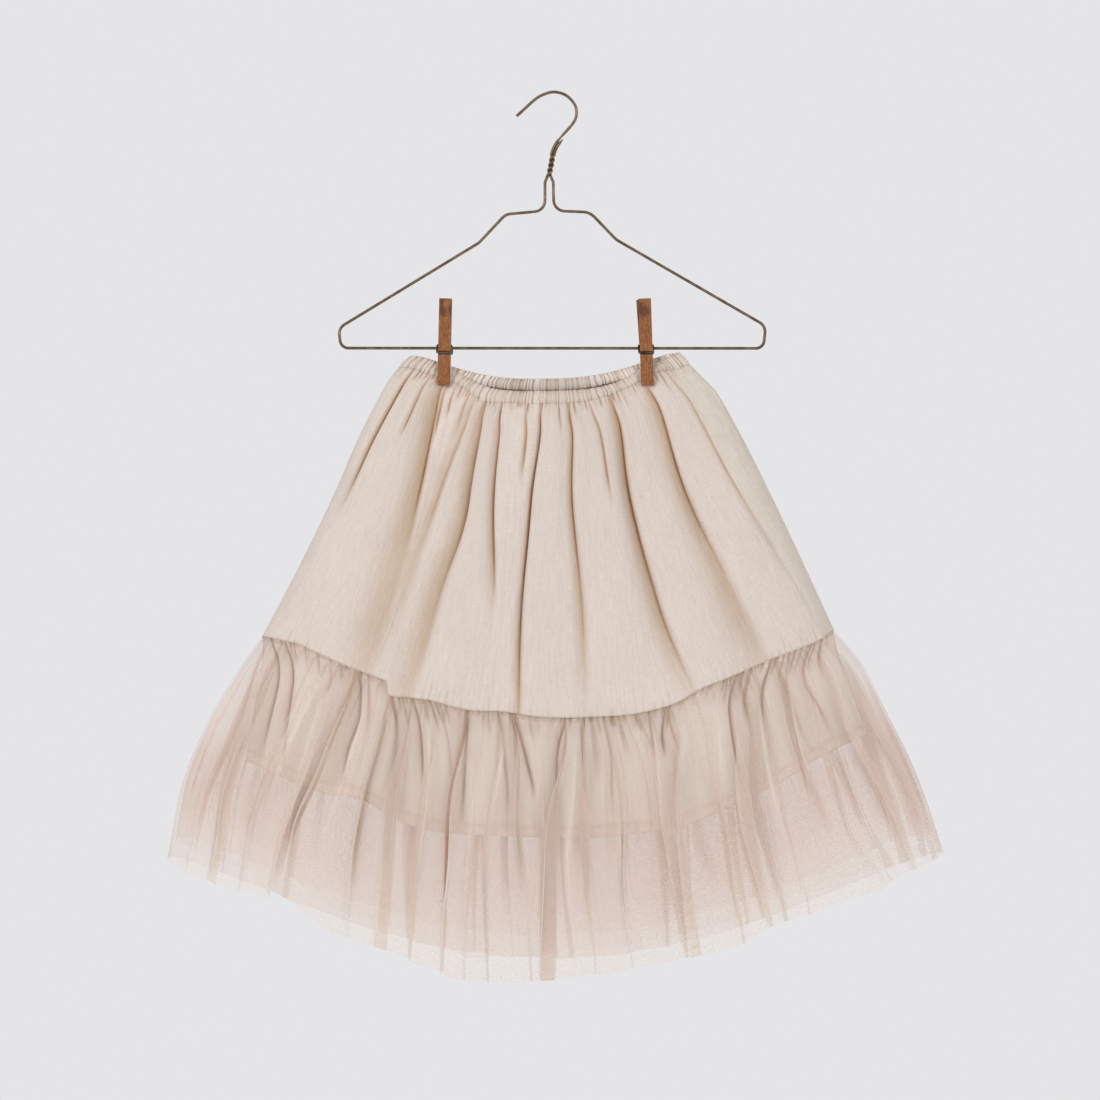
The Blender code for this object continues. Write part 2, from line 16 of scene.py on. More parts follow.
import bpy
import numpy as np
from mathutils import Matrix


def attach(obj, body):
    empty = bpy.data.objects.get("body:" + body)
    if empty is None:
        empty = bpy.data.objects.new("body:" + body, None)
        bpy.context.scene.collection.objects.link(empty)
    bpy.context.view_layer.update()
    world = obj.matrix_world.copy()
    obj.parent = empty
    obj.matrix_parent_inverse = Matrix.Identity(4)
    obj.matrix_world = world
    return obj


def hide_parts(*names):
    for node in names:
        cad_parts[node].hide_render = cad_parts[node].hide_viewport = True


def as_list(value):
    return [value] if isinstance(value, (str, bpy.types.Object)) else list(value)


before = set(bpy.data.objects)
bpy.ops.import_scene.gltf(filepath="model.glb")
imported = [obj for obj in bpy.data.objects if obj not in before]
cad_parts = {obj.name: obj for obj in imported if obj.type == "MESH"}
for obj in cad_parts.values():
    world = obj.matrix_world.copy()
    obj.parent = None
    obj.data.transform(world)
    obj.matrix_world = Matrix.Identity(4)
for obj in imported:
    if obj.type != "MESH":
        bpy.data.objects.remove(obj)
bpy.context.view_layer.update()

LOG = logging.getLogger("skirt")
MM = 0.001
Socket = bpy.types.NodeSocket
Value = Union[float, tuple, Socket]
Number = Union[float, np.ndarray]
Tint = tuple[float, float, float]
Ramp = tuple[float, float]

# Where the pegs' middles are across, in millimetres, and how far they are turned, in degrees
PEG_PLACES = {"peg_left": -91.0, "peg_right": 79.0}
PEG_TILTS = {"peg_left": 1.25, "peg_right": -1.9}


class Side(Enum):
    """Which half of the skirt a panel is."""

    FRONT = "front"
    BACK = "back"


@dataclass(frozen=True)
class Level:
    """One level of a layer: its side seams, depths and how far its middle hangs down."""

    side: float
    left: float
    right: float
    front: float
    back: float
    front_drop: float
    back_drop: float
    lean: float
    spread: float
    crest: float


@dataclass(frozen=True)
class Fold:
    """A fold's valley line, across the panel from -1 to 1, and its shape in millimetres.

    left and right are the widths of its two flanks, and lap is how far the right
    ridge lies over the valley, or the left one where lap is negative. firm is how
    much of its crispness it keeps down to the foot; below 0 it softens sooner.
    """

    top: float
    upper: float
    lower: float
    foot: float
    deep: float
    left: float
    right: float
    lap: float
    reach: float = 1.3
    firm: float = 0.0


@dataclass(frozen=True)
class Shape:
    """What folds do to a grid: valleys, slides along the rows, and the painted shade of their lines and
    flanks.
    """

    valley: np.ndarray
    slide: np.ndarray
    # line is painted shade along each fold's valley, and flank is painted shade on its flanks
    line: np.ndarray
    flank: np.ndarray


@dataclass(frozen=True)
class Settle:
    """How folds change from where they start to settle down to the foot, as multiples.

    fade is where their painted dark lines of shade start to fade, line is how wide those are, and
    band is how evenly the painted shade on their flanks is spread.
    """

    start: float
    depth: float
    soft: float
    steep: float
    lap: float
    fade: float
    line: float
    band: float


@dataclass(frozen=True)
class Crease:
    """A family of uneven creases below a gathered seam: how many, and their millimetres.

    wander is how unevenly they are spaced.
    """

    count: int
    shortest: float
    longest: float
    depth: float
    width: float
    seed: int
    wander: float = 0.6

    SHORTER = 3
    EDGE_POWER = 1.4
    FADE_FROM = 0.3
    FAINTEST = 0.5

    def phase(self, across: np.ndarray) -> np.ndarray:
        """Count the creases from the left side, as an uneven run."""
        even = self.count * (across + 1) / 2
        return even + self.wander * ripple(even * 0.9, self.seed)

    def valley(self, across: np.ndarray, below: np.ndarray, loop: np.ndarray) -> np.ndarray:
        """How deep the creases are.

        Args:
            across: Place of each point's column at the gathered seam.
            below: Distance of each point below that seam, in millimetres.
            loop: Length of each row's half loop, in millimetres.

        Returns:
            The depth, from 0 to about 1.
        """
        phase = self.phase(across)
        nearest = np.rint(phase)
        away = np.abs(phase - nearest) * loop / self.count
        chance = 0.5 + 0.5 * ripple(nearest, self.seed + 1)
        share = below / between(self.shortest, self.longest, chance ** self.SHORTER)
        width = self.width * (1 + np.clip(share, 0, 1))
        fade = 1 - smooth_step(self.FADE_FROM, 1.0, share)
        return between(self.FAINTEST, 1, chance) * fade * np.exp(-(away / width) ** self.EDGE_POWER)


@dataclass(frozen=True)
class Ruffle:
    """A family of small folds: how many, how far they lap and stand out, and where."""

    count: float
    lap: float
    height: float
    start: float
    full: float
    fade: float
    end: float
    wander: float
    seed: int


def between(first: Number, last: Number, share: Number) -> Number:
    """Go from first to last as share goes from 0 to 1."""
    return first + (last - first) * share


def smooth_step(low: float, high: float, value: np.ndarray) -> np.ndarray:
    """Rise softly from 0 at low to 1 at high.

    Args:
        low: Where the rise starts.
        high: Where it ends.
        value: The places to work out.

    Returns:
        The height at each place, from 0 to 1.
    """
    share = np.clip((value - low) / (high - low), 0.0, 1.0)
    return share * share * (3 - 2 * share)


def glide(places: np.ndarray, values: np.ndarray, at: np.ndarray) -> np.ndarray:
    """Follow a table smoothly, without passing its highest and lowest values.

    Args:
        places: Rising places of the table's rows.
        values: The value at each row.
        at: Places to read.

    Returns:
        The value at each place.
    """
    steps = np.diff(places)
    slopes = np.diff(values) / steps
    pairs = slopes[:-1] * slopes[1:]
    bends = np.where(pairs > 0, 2 * pairs / (slopes[:-1] + slopes[1:] + (pairs <= 0)), 0.0)
    tangents = np.concatenate([slopes[:1], bends, slopes[-1:]])
    index = np.clip(np.searchsorted(places, at) - 1, 0, len(steps) - 1)
    t = np.clip((at - places[index]) / steps[index], 0, 1)
    start, end = values[index], values[index + 1]
    run = steps[index]
    return (start * (1 + 2 * t) * (1 - t) ** 2 + end * t * t * (3 - 2 * t)
            + run * t * (1 - t) * (tangents[index] * (1 - t) - tangents[index + 1] * t))


def ripple(at: np.ndarray, seed: int) -> np.ndarray:
    """Even, seeded unevenness: a smooth curve through one chance value at each whole number.

    Args:
        at: Places to read.
        seed: Which chance values to use.

    Returns:
        Values from -1 to 1.
    """
    chance = np.random.default_rng(seed).uniform(-1, 1, 512)
    base = np.floor(at).astype(int)
    t = at - base
    t = t * t * (3 - 2 * t)
    return chance[base % 512] * (1 - t) + chance[(base + 1) % 512] * t


class HungForm:
    """The form that half a layer hangs in: half a loop for each row, pinched at the waist."""

    LOOP_FLATNESS = (3.0, 2.0)
    LOOP_ROUNDNESS = (2.0, 1.3)
    PINCH_DEPTH = 2.5
    PINCH_SPAN = 0.60
    PINCH_ENDS = 20
    PINCH_BULGE = 1.5
    SAMPLES = 961

    def __init__(self, levels: Sequence[Level], shares: np.ndarray, side: Side,
                 inset: Number = 0.0) -> None:
        """Work out the loops.

        Args:
            levels: The layer's table.
            shares: How far down the layer each row lies, from 0 to 1.
            side: Front or back half.
            inset: How far inside the table's loops the rows lie, in millimetres.
        """
        self.half = side
        self.shares = shares
        sides = np.array([level.side for level in levels])
        places = (sides[0] - sides) / (sides[0] - sides[-1])
        for index, name in enumerate(f.name for f in fields(Level)):
            values = np.array([astuple(level)[index] for level in levels])
            setattr(self, name, glide(places, values, shares)[:, None])
        self.swing = np.linspace(-math.pi / 2, math.pi / 2, self.SAMPLES)
        self.across = np.sin(self.swing)[None, :]
        self.points = self.ring(inset if np.isscalar(inset) else inset[:, None])
        along = np.gradient(self.points[..., :2], axis=1)
        turned = np.stack([along[..., 1], -along[..., 0]], axis=-1)
        if self.half is Side.BACK:
            turned = -turned
        self.normals = turned / np.maximum(np.linalg.norm(turned, axis=-1), 1e-9)[..., None]
        steps = np.linalg.norm(np.diff(self.points[..., :2], axis=1), axis=-1)
        self.arcs = np.concatenate([np.zeros((len(shares), 1)), np.cumsum(steps, axis=1)], axis=1)

    def ring(self, inset: Number) -> np.ndarray:
        """Points of every row's half loop.

        Args:
            inset: How far inside the table's loops they lie, in millimetres.

        Returns:
            An array of rows, samples and x, y, z.
        """
        across, spread = self.across, self.spread
        front = self.half is Side.FRONT
        half_width = (self.right - self.left) / 2 - inset
        depth = (self.front if front else self.back) - inset
        pinched = self.PINCH_DEPTH - inset
        ends = np.sqrt(np.clip(1 - across ** self.PINCH_ENDS, 0, None))
        bulge = np.clip(1 - (across / self.PINCH_SPAN) ** 2, 0, None) ** self.PINCH_BULGE
        held_flat = pinched * ends + (depth - pinched) * bulge
        out = between(held_flat, depth * np.cos(self.swing)[None, :], spread)
        flatness = between(*self.LOOP_FLATNESS, spread)
        sag = (1 - np.abs(across) ** flatness) ** between(*self.LOOP_ROUNDNESS, spread)
        drop = self.front_drop if front else self.back_drop
        x = (self.left + self.right) / 2 + half_width * across
        z = self.side + self.lean * across / 2 - drop * sag
        return np.stack([x, -out if front else out, z], axis=-1)

    def lengths(self) -> np.ndarray:
        """Length of each row's half loop, as a column."""
        return self.arcs[:, -1:]

    def arc_at(self, across: np.ndarray) -> np.ndarray:
        """Turn places across the panel into distances along each row.

        Args:
            across: Rows of places from -1 to 1.

        Returns:
            Rows of distances from the left side, in millimetres.
        """
        rows = [np.interp(np.arcsin(np.clip(row, -1, 1)), self.swing, arcs)
                for row, arcs in zip(across, self.arcs)]
        return np.array(rows)

    def place(self, arcs: np.ndarray, out: np.ndarray, rise: np.ndarray) -> np.ndarray:
        """Points at distances along the rows.

        Args:
            arcs: Distances from the left side, in millimetres.
            out: How far each point stands out from the loop.
            rise: How far it is lifted.

        Returns:
            An array of rows, columns and x, y, z, in millimetres.
        """
        points = np.zeros((*arcs.shape, 3))
        for row, (arc, line) in enumerate(zip(arcs, self.arcs)):
            for axis in range(3):
                points[row, :, axis] = np.interp(arc, line, self.points[row, :, axis])
            for axis in range(2):
                points[row, :, axis] += out[row] * np.interp(arc, line, self.normals[row, :, axis])
        points[..., 2] += rise
        return points


class FoldSet:
    """Named folds of one panel, and the grid of places that runs along them."""

    LEVELS = (0.0, 0.33, 0.66, 1.0)
    COLUMN_PULL = 3.0
    COLUMN_SPAN = 0.012
    SAMPLES = 6001
    EDGE_CROWD = 1.02
    OPENING = (-0.02, 0.11)
    SEAM_DEPTH = 0.55
    SEAM_WIDTH = 0.35
    CLOSING = 0.6
    FLANK_POWER = 1.3
    LAP_SHIFT = 0.25
    LAP_REACH = 1.1
    LAP_MARGIN = 0.4
    SHADE_WIDTH = 0.85
    SHADE_LEFT = 0.65
    CRISP_FLANK = 2.3
    LINE_SHIFT = 0.6
    LINE_LEFT = 0.05
    FADE_RUN = 0.3
    LONG_REACH = 0.7
    ARCH_SHARE = 0.032
    ARCH_LIMIT = 1.9

    def __init__(self, folds: Sequence[Fold], settle: Settle, form: HungForm, columns: int) -> None:
        """Lay out the grid's columns, closer together along the folds.

        Args:
            folds: The folds from left to right.
            settle: How they change towards the foot.
            form: The loops that the panel lies on.
            columns: How many columns the grid has.
        """
        self.folds = folds
        self.settle = settle
        self.form = form
        self.down = form.shares[:, None]
        table = np.array([(fold.top, fold.upper, fold.lower, fold.foot) for fold in folds])
        self.lines = np.array([glide(np.array(self.LEVELS), row, form.shares) for row in table])
        knots = np.concatenate([[-1.0], table.mean(axis=1), [1.0]])
        fine = np.linspace(-1, 1, self.SAMPLES)
        crowd = 1 / np.sqrt(self.EDGE_CROWD - fine ** 2)
        for knot in knots[1:-1]:
            crowd += self.COLUMN_PULL * np.exp(-((fine - knot) / self.COLUMN_SPAN) ** 2)
        total = np.concatenate([[0], np.cumsum((crowd[1:] + crowd[:-1]) / 2)])
        even = np.interp(np.linspace(0, total[-1], columns), total, fine)
        self.across = np.array([np.interp(even, knots, np.concatenate([[-1.0], line, [1.0]]))
                                for line in self.lines.T])
        self.arcs = form.arc_at(self.across)
        self.top = np.repeat(self.across[:1], len(self.across), 0)

    def shape(self) -> Shape:
        """Work out every fold's valley, lap and painted shade.

        Returns:
            The valleys, 0 on a ridge and 1 in a fold of full depth, how far each point
            is moved along its row, and the painted shade of fold lines and their flanks.
        """
        valley, slide, line_shade, flank_shade = (np.zeros_like(self.arcs) for _ in range(4))
        settled = smooth_step(self.settle.start, 1.0, self.down)
        faded = smooth_step(self.settle.fade, self.settle.fade + self.FADE_RUN, self.down)
        opened = smooth_step(*self.OPENING, self.down)
        for fold, line in zip(self.folds, self.lines):
            age = np.clip(settled * (1 - fold.firm), 0, 1)
            faint = np.clip(faded * (1 - fold.firm), 0, 1)
            closed = 1 - smooth_step(self.CLOSING * fold.reach, fold.reach, self.down)
            strength = between(self.SEAM_DEPTH, 1, opened) * closed
            away = self.arcs - self.form.arc_at(line[:, None]) - self.LAP_SHIFT * fold.lap * strength
            width = np.where(away < 0, self.flank(fold.left, fold.right, age),
                             self.flank(fold.right, fold.left, age)) * between(self.SEAM_WIDTH, 1, opened)
            trough = np.exp(-(np.abs(away) / width) ** self.FLANK_POWER)
            depth = fold.deep * strength * between(1, self.settle.depth, age)
            valley = np.maximum(valley, depth * trough)
            # Painted shade: a tinted band on each fold's flanks and a dark line in its valley
            shade = np.exp(-(np.abs(away) / (self.SHADE_WIDTH * width)) ** self.settle.band)
            shown = min(fold.deep, 1.0) * strength
            flank_shade = np.maximum(flank_shade, shown * between(1, self.SHADE_LEFT, age) * shade)
            crisp = min(1.0, self.CRISP_FLANK / min(fold.left, fold.right)) ** 2
            core = np.exp(-((away + self.LINE_SHIFT * np.sign(fold.lap)) / self.settle.line) ** 2)
            line_shade = np.maximum(line_shade, shown * crisp * between(1, self.LINE_LEFT, faint) * core)
            if fold.lap:
                reach = self.LAP_REACH * abs(fold.lap) + self.LAP_MARGIN
                beyond = np.clip(away * np.sign(fold.lap), 0, None) / reach
                pull = fold.lap * strength * opened * between(1, self.settle.lap, age)
                slide -= pull * beyond * np.exp(1 - beyond)
        return Shape(valley, slide, line_shade, flank_shade)

    def flank(self, width: float, other: float, age: np.ndarray) -> np.ndarray:
        """Widen a fold's flank towards the foot, where the steeper one softens more."""
        return width * between(1, self.settle.steep if width < other else self.settle.soft, age)

    def arches(self) -> np.ndarray:
        """Round the cloth out between one long fold and the next.

        Returns:
            How far each point stands out, in millimetres.
        """
        long = [line for fold, line in zip(self.folds, self.lines) if fold.reach > self.LONG_REACH]
        ends = np.ones(len(self.arcs))
        marks = self.form.arc_at(np.stack([-ends, *long, ends], axis=1))
        out = np.zeros_like(self.arcs)
        for row, (places, stops) in enumerate(zip(self.arcs, marks)):
            stops = np.maximum.accumulate(stops)
            index = np.clip(np.searchsorted(stops, places) - 1, 0, len(stops) - 2)
            gap = np.maximum(stops[index + 1] - stops[index], 1e-6)
            share = np.clip((places - stops[index]) / gap, 0, 1)
            out[row] = np.minimum(self.ARCH_SHARE * gap, self.ARCH_LIMIT) * 4 * share * (1 - share)
        return out

    def creased(self, creases: Crease, length: float) -> np.ndarray:
        """How deep a family of creases is, below the seam of a panel of the given length."""
        return creases.valley(self.top, self.down * length, self.form.lengths())

    def window(self, power: int) -> np.ndarray:
        """1 over the panel, falling to 0 close to its side seams."""
        return 1 - np.abs(self.across) ** power


@dataclass(frozen=True)
class Wobble:
    """Broad unevenness: its waves across a panel and how many they drift by down it.

    Its height is in millimetres.
    """

    waves: float
    drift: float
    height: float
    seed: int

    def over(self, folds: FoldSet) -> np.ndarray:
        """How far it lifts each point of a panel's grid."""
        return self.height * ripple(self.waves * folds.top + self.drift * folds.down, self.seed)


def hand_over(piece: bpy.types.Object, material: bpy.types.Material, node: str, slot: str) -> None:
    """Give a piece its finish and the body it rides on, and hide the CAD node it replaces.

    Args:
        piece: The piece.
        material: Its finish.
        node: The CAD node.
        slot: Not used.
    """
    piece.data.materials.clear()
    piece.data.materials.append(material)
    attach(piece, "root")
    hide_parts(node)


def take_up(piece: bpy.types.Object) -> None:
    """Link a new object to the scene and select it alone.

    Args:
        piece: The object.
    """
    bpy.context.collection.objects.link(piece)
    bpy.ops.object.select_all(action="DESELECT")
    piece.select_set(True)
    bpy.context.view_layer.objects.active = piece


def close_up(merge: float, flat_angle: Optional[float] = None) -> None:
    """Merge the active mesh's doubles and turn its faces outwards.

    Args:
        merge: The largest distance to merge, in metres.
        flat_angle: Faces that meet within this many degrees of flat become one.
    """
    bpy.ops.object.mode_set(mode="EDIT")
    bpy.ops.mesh.select_all(action="SELECT")
    bpy.ops.mesh.remove_doubles(threshold=merge)
    if flat_angle is not None:
        bpy.ops.mesh.dissolve_limited(angle_limit=math.radians(flat_angle))
    bpy.ops.mesh.normals_make_consistent(inside=False)
    bpy.ops.object.mode_set(mode="OBJECT")


@dataclass
class Cloth:
    """A sheet of cloth, given as a grid of points, that becomes one half of a layer.

    turned is the part of its cut length that lies folded up behind it.
    """

    name: str
    node: str
    slot: str
    side: Side
    rests_on: list[str]
    points: np.ndarray
    width: float
    length: float
    columns: np.ndarray
    shares: np.ndarray
    marks: dict[str, np.ndarray]
    turned: float = 0.0

    def build(self, material: bpy.types.Material) -> bpy.types.Object:
        """Lay a primitive grid on the points and give it its cloth coordinates.

        Args:
            material: The cloth's finish.

        Returns:
            The finished piece.
        """
        rows, columns = self.points.shape[:2]
        bpy.ops.object.select_all(action="DESELECT")
        bpy.ops.mesh.primitive_grid_add(x_subdivisions=columns - 1, y_subdivisions=rows - 1,
                                        size=2, calc_uvs=True)
        piece = bpy.context.object
        piece.name = f"{self.name}_{self.side.value}"
        mesh = piece.data
        mesh.name = piece.name
        flat = np.empty(len(mesh.vertices) * 3)
        mesh.vertices.foreach_get("co", flat)
        flat = flat.reshape(-1, 3)
        column = np.rint((flat[:, 0] + 1) / 2 * (columns - 1)).astype(int)
        row = np.rint((1 - flat[:, 1]) / 2 * (rows - 1)).astype(int)
        mesh.vertices.foreach_set("co", (self.points[row, column] * MM).ravel())
        corner = np.empty(len(mesh.loops), dtype=np.int32)
        mesh.loops.foreach_get("vertex_index", corner)
        cloth = np.stack([self.columns[column] * self.width, -self.shares[row] * self.length], axis=-1)
        mesh.uv_layers.active.data.foreach_set("uv", (cloth[corner] * MM).ravel())
        mesh.uv_layers.active.name = "Cloth"
        for name, values in self.marks.items():
            mark = mesh.attributes.new(name, "FLOAT", "POINT")
            mark.data.foreach_set("value", values[row, column].astype(np.float32))
        mesh.shade_smooth()
        if self.side is Side.BACK:
            mesh.flip_normals()
        mesh.update()
        hand_over(piece, material, f"{self.node}_{self.side.value}", self.slot)
        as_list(self.rests_on)
        return piece


def evenly(points: np.ndarray, row: int) -> np.ndarray:
    """Share of a cloth's width at each of its columns, from the lengths along one row.

    Args:
        points: The cloth's grid.
        row: The row to measure.

    Returns:
        The shares, from 0 to 1.
    """
    steps = np.linalg.norm(np.diff(points[row], axis=0), axis=-1)
    total = np.concatenate([[0.0], np.cumsum(steps)])
    return total / total[-1]


class Recipe:
    """A material's nodes, added one by one round its Principled shader."""

    def __init__(self, name: str) -> None:
        """Start with a plain Principled material.

        Args:
            name: The material's name.
        """
        self.material = bpy.data.materials.new(name)
        self.material.use_nodes = True
        self.tree = self.material.node_tree
        self.shader = self.tree.nodes["Principled BSDF"]

    def set(self, **sockets: Value) -> None:
        """Set or link the shader's sockets, with underscores for spaces in their names."""
        for name, value in sockets.items():
            self.feed(self.shader.inputs[name.replace("_", " ")], value)

    def feed(self, socket: Socket, value: Value) -> None:
        """Link a node's output to a socket, or set the socket's value.

        Args:
            socket: The socket.
            value: An output, a number, a vector or a colour.
        """
        if isinstance(value, bpy.types.NodeSocket):
            self.tree.links.new(value, socket)
        elif isinstance(value, tuple) and len(value) == 3 and socket.type == "RGBA":
            socket.default_value = (*value, 1.0)
        else:
            socket.default_value = value

    def add(self, kind: str, inputs: dict, output: Union[int, str] = 0, **settings: object) -> Socket:
        """Add a node.

        Args:
            kind: The node's type, without its ShaderNode prefix.
            inputs: What each of its sockets gets.
            output: Which output is wanted.
            settings: The node's own settings.

        Returns:
            The output socket.
        """
        node = self.tree.nodes.new("ShaderNode" + kind)
        for name, value in settings.items():
            setattr(node, name, value)
        for key, value in inputs.items():
            self.feed(node.inputs[key], value)
        return node.outputs[output]

    def calc(self, operation: str, *values: Value, clamp: bool = False) -> Socket:
        """Add a Math node."""
        return self.add("Math", dict(enumerate(values)), operation=operation, use_clamp=clamp)

    def blend(self, share: Value, first: Value, second: Value, mode: str = "MIX") -> Socket:
        """Mix two colours by a share from 0 to 1."""
        return self.add("Mix", {0: share, 6: first, 7: second}, output=2, data_type="RGBA",
                        blend_type=mode, clamp_factor=True)

    def mark(self, name: str) -> Socket:
        """Read one of the mesh's attributes."""
        return self.add("Attribute", {}, output="Fac", attribute_name=name)

    def cloth(self, across: float, along: float, turn: float = 0.0) -> Socket:
        """Cloth coordinates, in repeats of the given sizes in millimetres.

        Args:
            across: Size of a repeat across the cloth.
            along: Size of a repeat down the cloth.
            turn: Turn of the pattern in degrees.

        Returns:
            The coordinates.
        """
        uv = self.add("UVMap", {}, uv_map="Cloth")
        turned = self.add("Mapping", {0: uv, 2: (0.0, 0.0, math.radians(turn))})
        return self.add("Mapping", {0: turned, 3: (1 / (across * MM), 1 / (along * MM), 1.0)})

    def place(self, size_x: float, size_y: float, size_z: float) -> Socket:
        """Object coordinates, in repeats of the given sizes in millimetres."""
        where = self.add("TexCoord", {}, output="Object")
        return self.add("Mapping", {0: where, 3: (1 / (size_x * MM), 1 / (size_y * MM), 1 / (size_z * MM))})

    def noise(self, where: Socket, detail: float = 2.0, rough: float = 0.5) -> Socket:
        """Add a noise with one bump for each repeat of its coordinates."""
        return self.add("TexNoise", {"Vector": where, "Scale": 1.0, "Detail": detail, "Roughness": rough})

    def spread(self, value: Value, low: float, high: float, first: float = 0.0, last: float = 1.0) -> Socket:
        """Stretch a value's range from low to high onto another one."""
        return self.add("MapRange", {0: value, 1: low, 2: high, 3: first, 4: last})

    def bump(self, height: Socket, distance: float) -> None:
        """Give the shader a bump, with its distance in millimetres."""
        relief = self.add("Bump", {"Strength": 1.0, "Distance": distance * MM, "Height": height})
        self.feed(self.shader.inputs["Normal"], relief)

    def coats(self, base: Tint, *coats: tuple[Value, Tint]) -> Socket:
        """Lay sRGB colours over a base one.

        Args:
            base: The colour below.
            coats: The share and the colour of each coat, in the order that they are laid.

        Returns:
            The colour.
        """
        colour = linear(*base)
        for share, tint in coats:
            colour = self.blend(share, colour, linear(*tint))
        return colour

    def dim(self, colour: Socket, shade: Socket) -> Socket:
        """Multiply a colour by a shade of grey."""
        grey = self.add("CombineColor", {0: shade, 1: shade, 2: shade})
        return self.blend(1.0, colour, grey, mode="MULTIPLY")


def linear(red: float, green: float, blue: float) -> Tint:
    """Turn an sRGB colour of 0 to 255 into a linear one."""
    shares = [value / 255 for value in (red, green, blue)]
    return tuple(s / 12.92 if s <= 0.04045 else ((s + 0.055) / 1.055) ** 2.4 for s in shares)


@dataclass(frozen=True)
class LinenFinish:
    """Plain-woven linen or cotton: slubby threads both ways, with warm painted shade in its folds.

    slub is how uneven the threads' colour is. thread is half their spacing, and relief
    is the height of threads and crinkles, both in millimetres.
    """

    name: str
    ridge: Tint
    # valley and flank are painted shade in the folds and on their flanks. lee is painted shade on strips
    # that face away from the light, and on the lining it is the hem band's tone: partly the double hem's
    # own, partly painted light.
    valley: Tint
    seam: Tint
    flank: Tint = (194, 167, 139)
    lee: Tint = (219, 208, 196)
    slub: float = 0.11
    thread: float = 0.55
    relief: float = 0.17

    def material(self) -> bpy.types.Material:
        """Make the finish.

        Returns:
            The material.
        """
        recipe = Recipe(self.name)
        warp = recipe.noise(recipe.cloth(self.thread * 2.9, 17.0), 3.0, 0.6)
        weft = recipe.noise(recipe.cloth(9.0, self.thread * 2.3), 3.0, 0.6)
        cloud = recipe.noise(recipe.cloth(38.0, 60.0), 3.0)
        crinkle = recipe.noise(recipe.cloth(3.2, 13.0), 3.0, 0.6)
        rumple = recipe.noise(recipe.cloth(6.5, 30.0), 3.0, 0.55)
        threads = recipe.add("TexBrick", {
            "Vector": recipe.cloth(self.thread * 2, self.thread * 2), "Color1": (1.0, 1.0, 1.0),
            "Color2": (0.72, 0.72, 0.72), "Mortar": (0.2, 0.2, 0.2), "Scale": 1.0,
            "Mortar Size": 0.08, "Mortar Smooth": 1.0, "Brick Width": 1.0, "Row Height": 0.5,
        })
        slubs = recipe.calc("MULTIPLY_ADD", warp, 1.2, recipe.calc("MULTIPLY", weft, 0.8))
        shade = recipe.calc("MULTIPLY_ADD", slubs, 2.2 * self.slub, 1.0 - 2.2 * self.slub)
        shade = recipe.calc("MULTIPLY_ADD", recipe.calc("SUBTRACT", cloud, 0.5), self.slub, shade)
        # Painted shade in the flank and fold coats, and in the lee coat, which on the lining is partly
        # painted light; the seam coat is the stitching.
        colour = recipe.coats(self.ridge, (recipe.mark("flank"), self.flank),
                              (recipe.mark("fold"), self.valley), (recipe.mark("lee"), self.lee),
                              (recipe.mark("seam"), self.seam))
        height = recipe.calc("MULTIPLY_ADD", slubs, 1.4, recipe.calc("MULTIPLY", threads, 0.5))
        height = recipe.calc("MULTIPLY_ADD", crinkle, 3.6, height)
        height = recipe.calc("MULTIPLY_ADD", rumple, 6.0, height)
        recipe.bump(height, self.relief)
        recipe.set(Base_Color=recipe.dim(colour, shade), Roughness=0.92, Specular_IOR_Level=0.15,
                   Sheen_Weight=0.12, Sheen_Roughness=0.5, Sheen_Tint=(1.0, 0.96, 0.92))
        return recipe.material


@dataclass(frozen=True)
class NetFinish:
    """Soft net: a small diamond mesh that is thin where it lies flat and denser in its folds.

    cover is how much it hides of what lies behind it, and grain is how uneven that is.
    mesh is the size of its holes in millimetres. Its folds get painted shade, and its
    turned edges painted highlights.
    """

    name: str
    flat: Tint
    # deep is painted shade in the folds, and edge a painted highlight on turned edges and glint lines
    deep: Tint
    edge: Tint
    cover: float
    grain: float
    mesh: float = 1.5

    def material(self) -> bpy.types.Material:
        """Make the finish.

        Returns:
            The material.
        """
        recipe = Recipe(self.name)
        cells = recipe.add("TexVoronoi", {"Vector": recipe.cloth(self.mesh, self.mesh * 1.2, 45.0),
                                          "Scale": 1.0, "Randomness": 0.25},
                           voronoi_dimensions="2D", feature="DISTANCE_TO_EDGE")
        thread = recipe.spread(cells, 0.05, 0.24, 1.0, 0.0)
        uneven = recipe.noise(recipe.cloth(9.0, 60.0), 3.0)
        grain = recipe.noise(recipe.cloth(1.8, 2.2, 40.0), 2.0, 0.6)
        layer, fold, edge = (recipe.mark(name) for name in ("cover", "fold", "edge"))
        dense = recipe.calc("MULTIPLY", recipe.spread(grain, 0.38, 0.62, -self.grain, self.grain),
                            recipe.calc("POWER", recipe.calc("MINIMUM", layer, 1.0), 2.0))
        cover = recipe.calc("MULTIPLY_ADD", thread, 0.6 * self.cover, 0.8 * self.cover)
        cover = recipe.calc("MULTIPLY", cover, recipe.spread(uneven, 0.3, 0.7, 0.84, 1.16))
        cover = recipe.calc("MULTIPLY", cover, recipe.calc("ADD", dense, 1.0))
        cover = recipe.calc("MULTIPLY_ADD", edge, 0.45, cover)
        cover = recipe.calc("MULTIPLY_ADD", fold, 0.4, cover)
        cover = recipe.calc("MULTIPLY", cover, layer, clamp=True)
        # Painted shade in the folds, towards deep, and painted highlights on turned edges, towards edge
        colour = recipe.coats(self.flat, (recipe.calc("MULTIPLY", fold, 0.9, clamp=True), self.deep),
                              (recipe.calc("MULTIPLY", edge, 0.7), self.edge))
        colour = recipe.dim(colour, recipe.calc("MULTIPLY_ADD", dense, -0.4, 1.0))
        recipe.set(Base_Color=colour, Roughness=0.8, Specular_IOR_Level=0.2, Alpha=cover,
                   Sheen_Weight=0.25, Sheen_Roughness=0.4, Sheen_Tint=(1.0, 0.97, 0.94))
        return recipe.material


